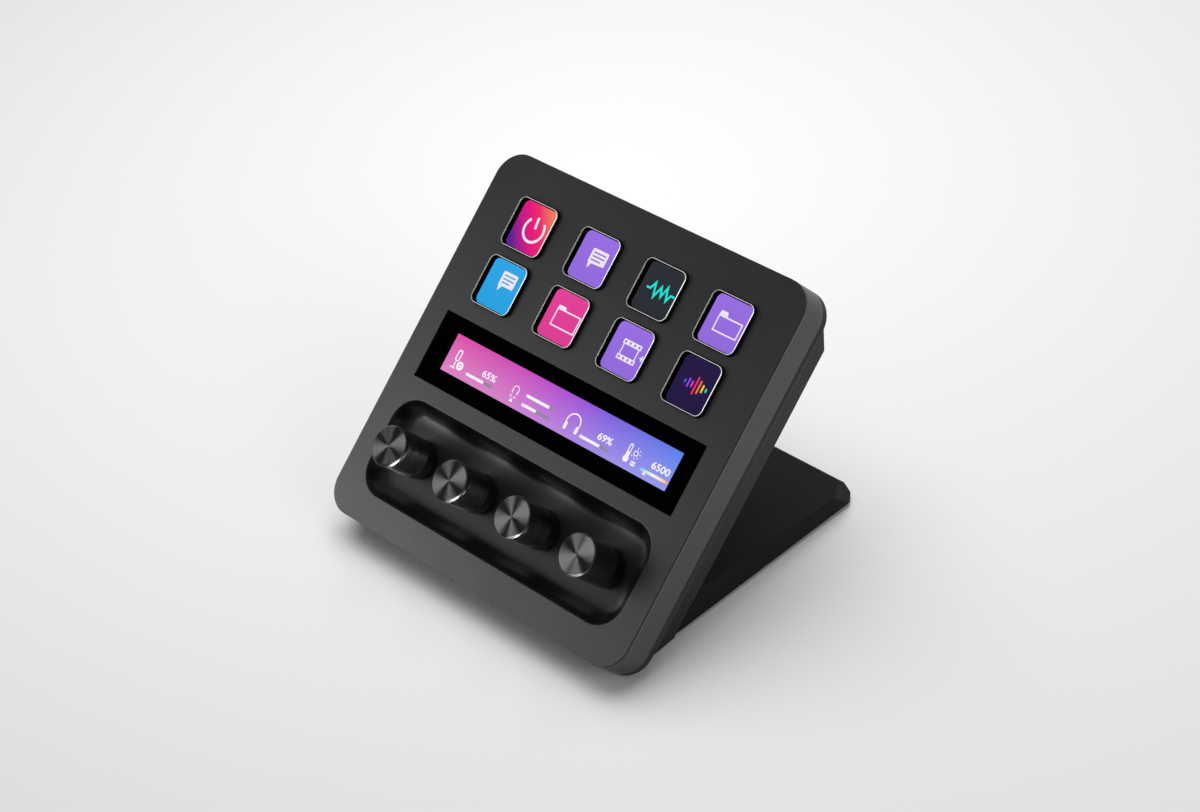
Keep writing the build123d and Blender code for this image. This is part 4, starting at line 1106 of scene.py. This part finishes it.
# %% Finish the knob's faces and split the knurl
for material in (skirt_finish, blackened, cut_rim):
    knob_mesh.materials.append(material)
for index, polygon in enumerate(knob_mesh.polygons):
    ring = index // knurl_around
    polygon.material_index = (ring >= skirt_ring_count) + (ring >= rim_ring_start)

knurl_work = bmesh.new()
knurl_work.from_mesh(knob_mesh)
knurl_work.faces.ensure_lookup_table()
knurl_faces = knurl_work.faces[(skirt_ring_count + 1) * knurl_around:
                               (skirt_ring_count + 1 + knurl_up) * knurl_around]
for face in knurl_faces:
    lowest_two = sorted(face.verts, key=lambda vertex: vertex.co.xy.length)[:2]
    bmesh.utils.face_split(face, *lowest_two)
knurl_work.to_mesh(knob_mesh)
knurl_work.free()
print("with its knurl split:", len(knob_mesh.polygons), "faces")

# %% Put a knob on every shaft
for number, (x, y) in enumerate(knob_spots, start=1):
    knob = new_piece(f"knurled_knob_{number}", knob_mesh, (), face_place(x, y),
                     f"knob_{number}", 30)
    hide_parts(f"knob_body_{number}")
print("four knobs in place")

# %% [markdown]
# ## Spun caps
#
# The cap's rings come from a lathe. Rings this fine aren't seen one by one; they stretch
# every highlight across themselves, into two opposite bright wedges that meet in the
# middle. Blender's anisotropic reflection does that with a tangent that runs round the
# piece's own Z axis, which is why each cap has its origin on its knob's centre line. The
# rotation of a quarter turn makes the stretch run across the rings and not along them.

# %% The cap's mesh and finish
dimple = [(0.15, cap_top - 0.05), (0.3, cap_top)]
top = [(radius, cap_top) for radius in (1.0, 2.5, 4.0, 5.5, cap_radius - 0.2)]
edge = [(cap_radius, cap_top - 0.15), (cap_radius, cap_bottom + 0.01)]
cap_profile = (dimple + top + edge)[::-1]
cap_mesh = skin("spun_cap", [circle(radius, level, 96) for radius, level in cap_profile])

spun = new_finish("spun_metal", (0.008, 0.008, 0.0081), 0.31, metallic=1.0)
shader_of(spun).inputs["Anisotropic"].default_value = 1.0
shader_of(spun).inputs["Anisotropic Rotation"].default_value = 0.25
tangent = add_node(spun, "ShaderNodeTangent", direction_type="RADIAL", axis="Z")
into_shader(spun, tangent.outputs["Tangent"], "Tangent")
lathe_rings = add_node(spun, "ShaderNodeTexNoise", noise_dimensions="1D", Scale=9000.0)
join(spun, from_axis(spun), lathe_rings.inputs["W"])
bumped(spun, lathe_rings.outputs["Fac"], 0.25, 0.01)
for number, (x, y) in enumerate(knob_spots, start=1):
    cap = new_piece(f"spun_cap_{number}", cap_mesh, (spun,), face_place(x, y),
                    f"knob_{number}", 20)
    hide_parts(f"knob_cap_{number}")
print("cap:", len(cap_mesh.polygons), "faces")

# %% [markdown]
# ## The room
#
# The keypad stands on a plain pale floor. The floor is lightest behind the keypad and a
# little greyer towards the edges: a painted pool of light, a broad round gradient in its
# colour. It stays an ordinary diffuse surface, so it catches the keypad's soft shadow.

# %% The floor
floor_radius = 3000.0
floor = bpy.data.objects.new("floor", drawing("floor", [disc(floor_radius, steps=96)]))
bpy.context.scene.collection.objects.link(floor)
floor_finish = new_finish("pale_floor", (0.9, 0.9, 0.9), 0.9, specular=0.0)
# Painted light: the floor's colour is a round pool, lightest behind the keypad and greyer
# outward.
light_pool_place = pattern(floor_finish, "ShaderNodeMapping", vector_type="TEXTURE",
                      Location=(-0.14, 0.13, 0.0), Scale=(0.42, 0.42, 1.0))
painted_light_pool = pattern(floor_finish, "ShaderNodeTexGradient", light_pool_place.outputs["Vector"],
                      gradient_type="SPHERICAL")
light_pool_ramp = add_node(floor_finish, "ShaderNodeValToRGB")
light_pool_ramp.color_ramp.elements[0].color = (0.71, 0.71, 0.72, 1.0)
light_pool_ramp.color_ramp.elements[1].color = (0.98, 0.98, 0.98, 1.0)
join(floor_finish, painted_light_pool.outputs["Fac"], light_pool_ramp.inputs["Fac"])
into_shader(floor_finish, light_pool_ramp.outputs["Color"], "Base Color")
floor.data.materials.append(floor_finish)
print("floor", tuple(floor.dimensions))

# %% [markdown]
# ## Light
#
# One very large, soft light hangs overhead and gives the floor its even tone, and a weaker
# one fills in from the right. A dark, satin object is mostly seen by what it mirrors, so
# a studio stands white cards round it. Our cards are lamps that light nothing and are only
# mirrored: two on the left give the face a glow that fades towards the upper right, and
# three more draw the wedges on the caps and the bright arcs of the rims. Light linking
# keeps each card to the pieces that it is meant for, and off everything clear, where a
# card would show as a hard white patch. The light from the right stays off the knobs and
# the strip, and gives the keys' rims their glint.
#
# Rays that come through glass find a lamp too seldom, and each find would leave a bright
# speck, so the lamps are hidden from those rays.

# %% Helpers for lamps
def soft_light(name, place, target, width, height, watts, pieces=None, lights=True,
               mirrors=True):
    """A rectangular area light that looks at a target; it may fall on some pieces alone."""
    data = bpy.data.lights.new(name, "AREA")
    data.shape = "RECTANGLE"
    data.size = width
    data.size_y = height
    data.energy = watts
    lamp = bpy.data.objects.new(name, data)
    bpy.context.scene.collection.objects.link(lamp)
    lamp.matrix_world = aimed(place, target)
    lamp.visible_diffuse = lights
    lamp.visible_glossy = mirrors
    lamp.visible_transmission = False
    if pieces:
        receivers = bpy.data.collections.new(name + "_receivers")
        for piece in pieces:
            receivers.objects.link(piece)
        lamp.light_linking.receiver_collection = receivers


print("lamp helper ready")

# %% Which pieces a lamp may reach
knob_metal = [bpy.data.objects[f"{kind}_{number}"] for number in range(1, 5)
              for kind in ("spun_cap", "knurled_knob")]
caps = [piece for piece in knob_metal if piece.name.startswith("spun_cap")]
lenses = [bpy.data.objects[f"lens_{number}"] for number in range(1, 9)]
strip_window = [nodes["touch_glass"], nodes["strip_display"]]
others = [piece for piece in bpy.data.objects
          if piece.type == "MESH" and piece not in knob_metal + lenses + strip_window]
print(len(knob_metal), "pieces of knob metal,", len(others), "others")


# %% Lamps and cards
def knob_card(name, way, width, height, watts, pieces=knob_metal, distance=0.5):
    """A card that only the knobs mirror, in a direction as seen from the knobs."""
    knob_row = on_face(0.0, knob_line, 10.0)
    place = knob_row + Vector(way).normalized() * distance
    soft_light(name, place, knob_row, width, height, watts, pieces, lights=False)


soft_light("overhead", (-0.35, 0.3, 1.5), (0.0, 0.0, 0.0), 1.8, 1.8, 27.6, mirrors=False)
soft_light("right_fill", (0.9, -0.1, 0.45), (0.0, 0.0, 0.03), 0.6, 0.6, 2.2, others + lenses)
knob_card("card_above", (-0.2, -0.37, 0.9), 0.34, 0.34, 26.0, caps)
knob_card("card_left", (-0.83, 0.0, 0.52), 0.12, 0.12, 3.0)
knob_card("card_front", (0.12, -0.99, -0.08), 0.13, 0.05, 5.0, distance=0.16)
soft_light("face_card", (-0.38, -0.38, 0.18), (-0.05, -0.05, 0.02), 0.32, 0.28, 4.5, others,
           lights=False)
soft_light("left_card", (-0.75, 0.0, 0.26), (0.0, -0.02, 0.04), 0.20, 0.25, 1.0, others,
           lights=False)

# %% [markdown]
# ## The world
#
# The world adds a little light from everywhere. The camera sees it as a pale room, and so do
# reflections and rays through glass, or else dark pieces would mirror another room than the
# one that is seen behind them. A world has a node tree too, so our helpers work on it.

# %% The world's two backgrounds
world = bpy.data.worlds.new("studio")
bpy.context.scene.world = world
world.use_nodes = True
world_nodes = world.node_tree.nodes
lighting = world_nodes["Background"]
lighting.inputs["Color"].default_value = (0.9, 0.92, 0.95, 1.0)
lighting.inputs["Strength"].default_value = 0.2
seen_room = add_node(world, "ShaderNodeBackground", Color=(0.93, 0.93, 0.94, 1.0), Strength=1.0)
ray = add_node(world, "ShaderNodeLightPath")
seen = ray.outputs["Is Camera Ray"]
for other_way in ("Is Glossy Ray", "Is Transmission Ray"):
    larger = add_node(world, "ShaderNodeMath", operation="MAXIMUM")
    join(world, seen, larger.inputs[0])
    join(world, ray.outputs[other_way], larger.inputs[1])
    seen = larger.outputs["Value"]
either = add_node(world, "ShaderNodeMixShader")
join(world, seen, either.inputs["Fac"])
join(world, lighting.outputs["Background"], either.inputs[1])
join(world, seen_room.outputs["Background"], either.inputs[2])
join(world, either.outputs["Shader"], world_nodes["World Output"].inputs["Surface"])
print("world:", [node.name for node in world_nodes])
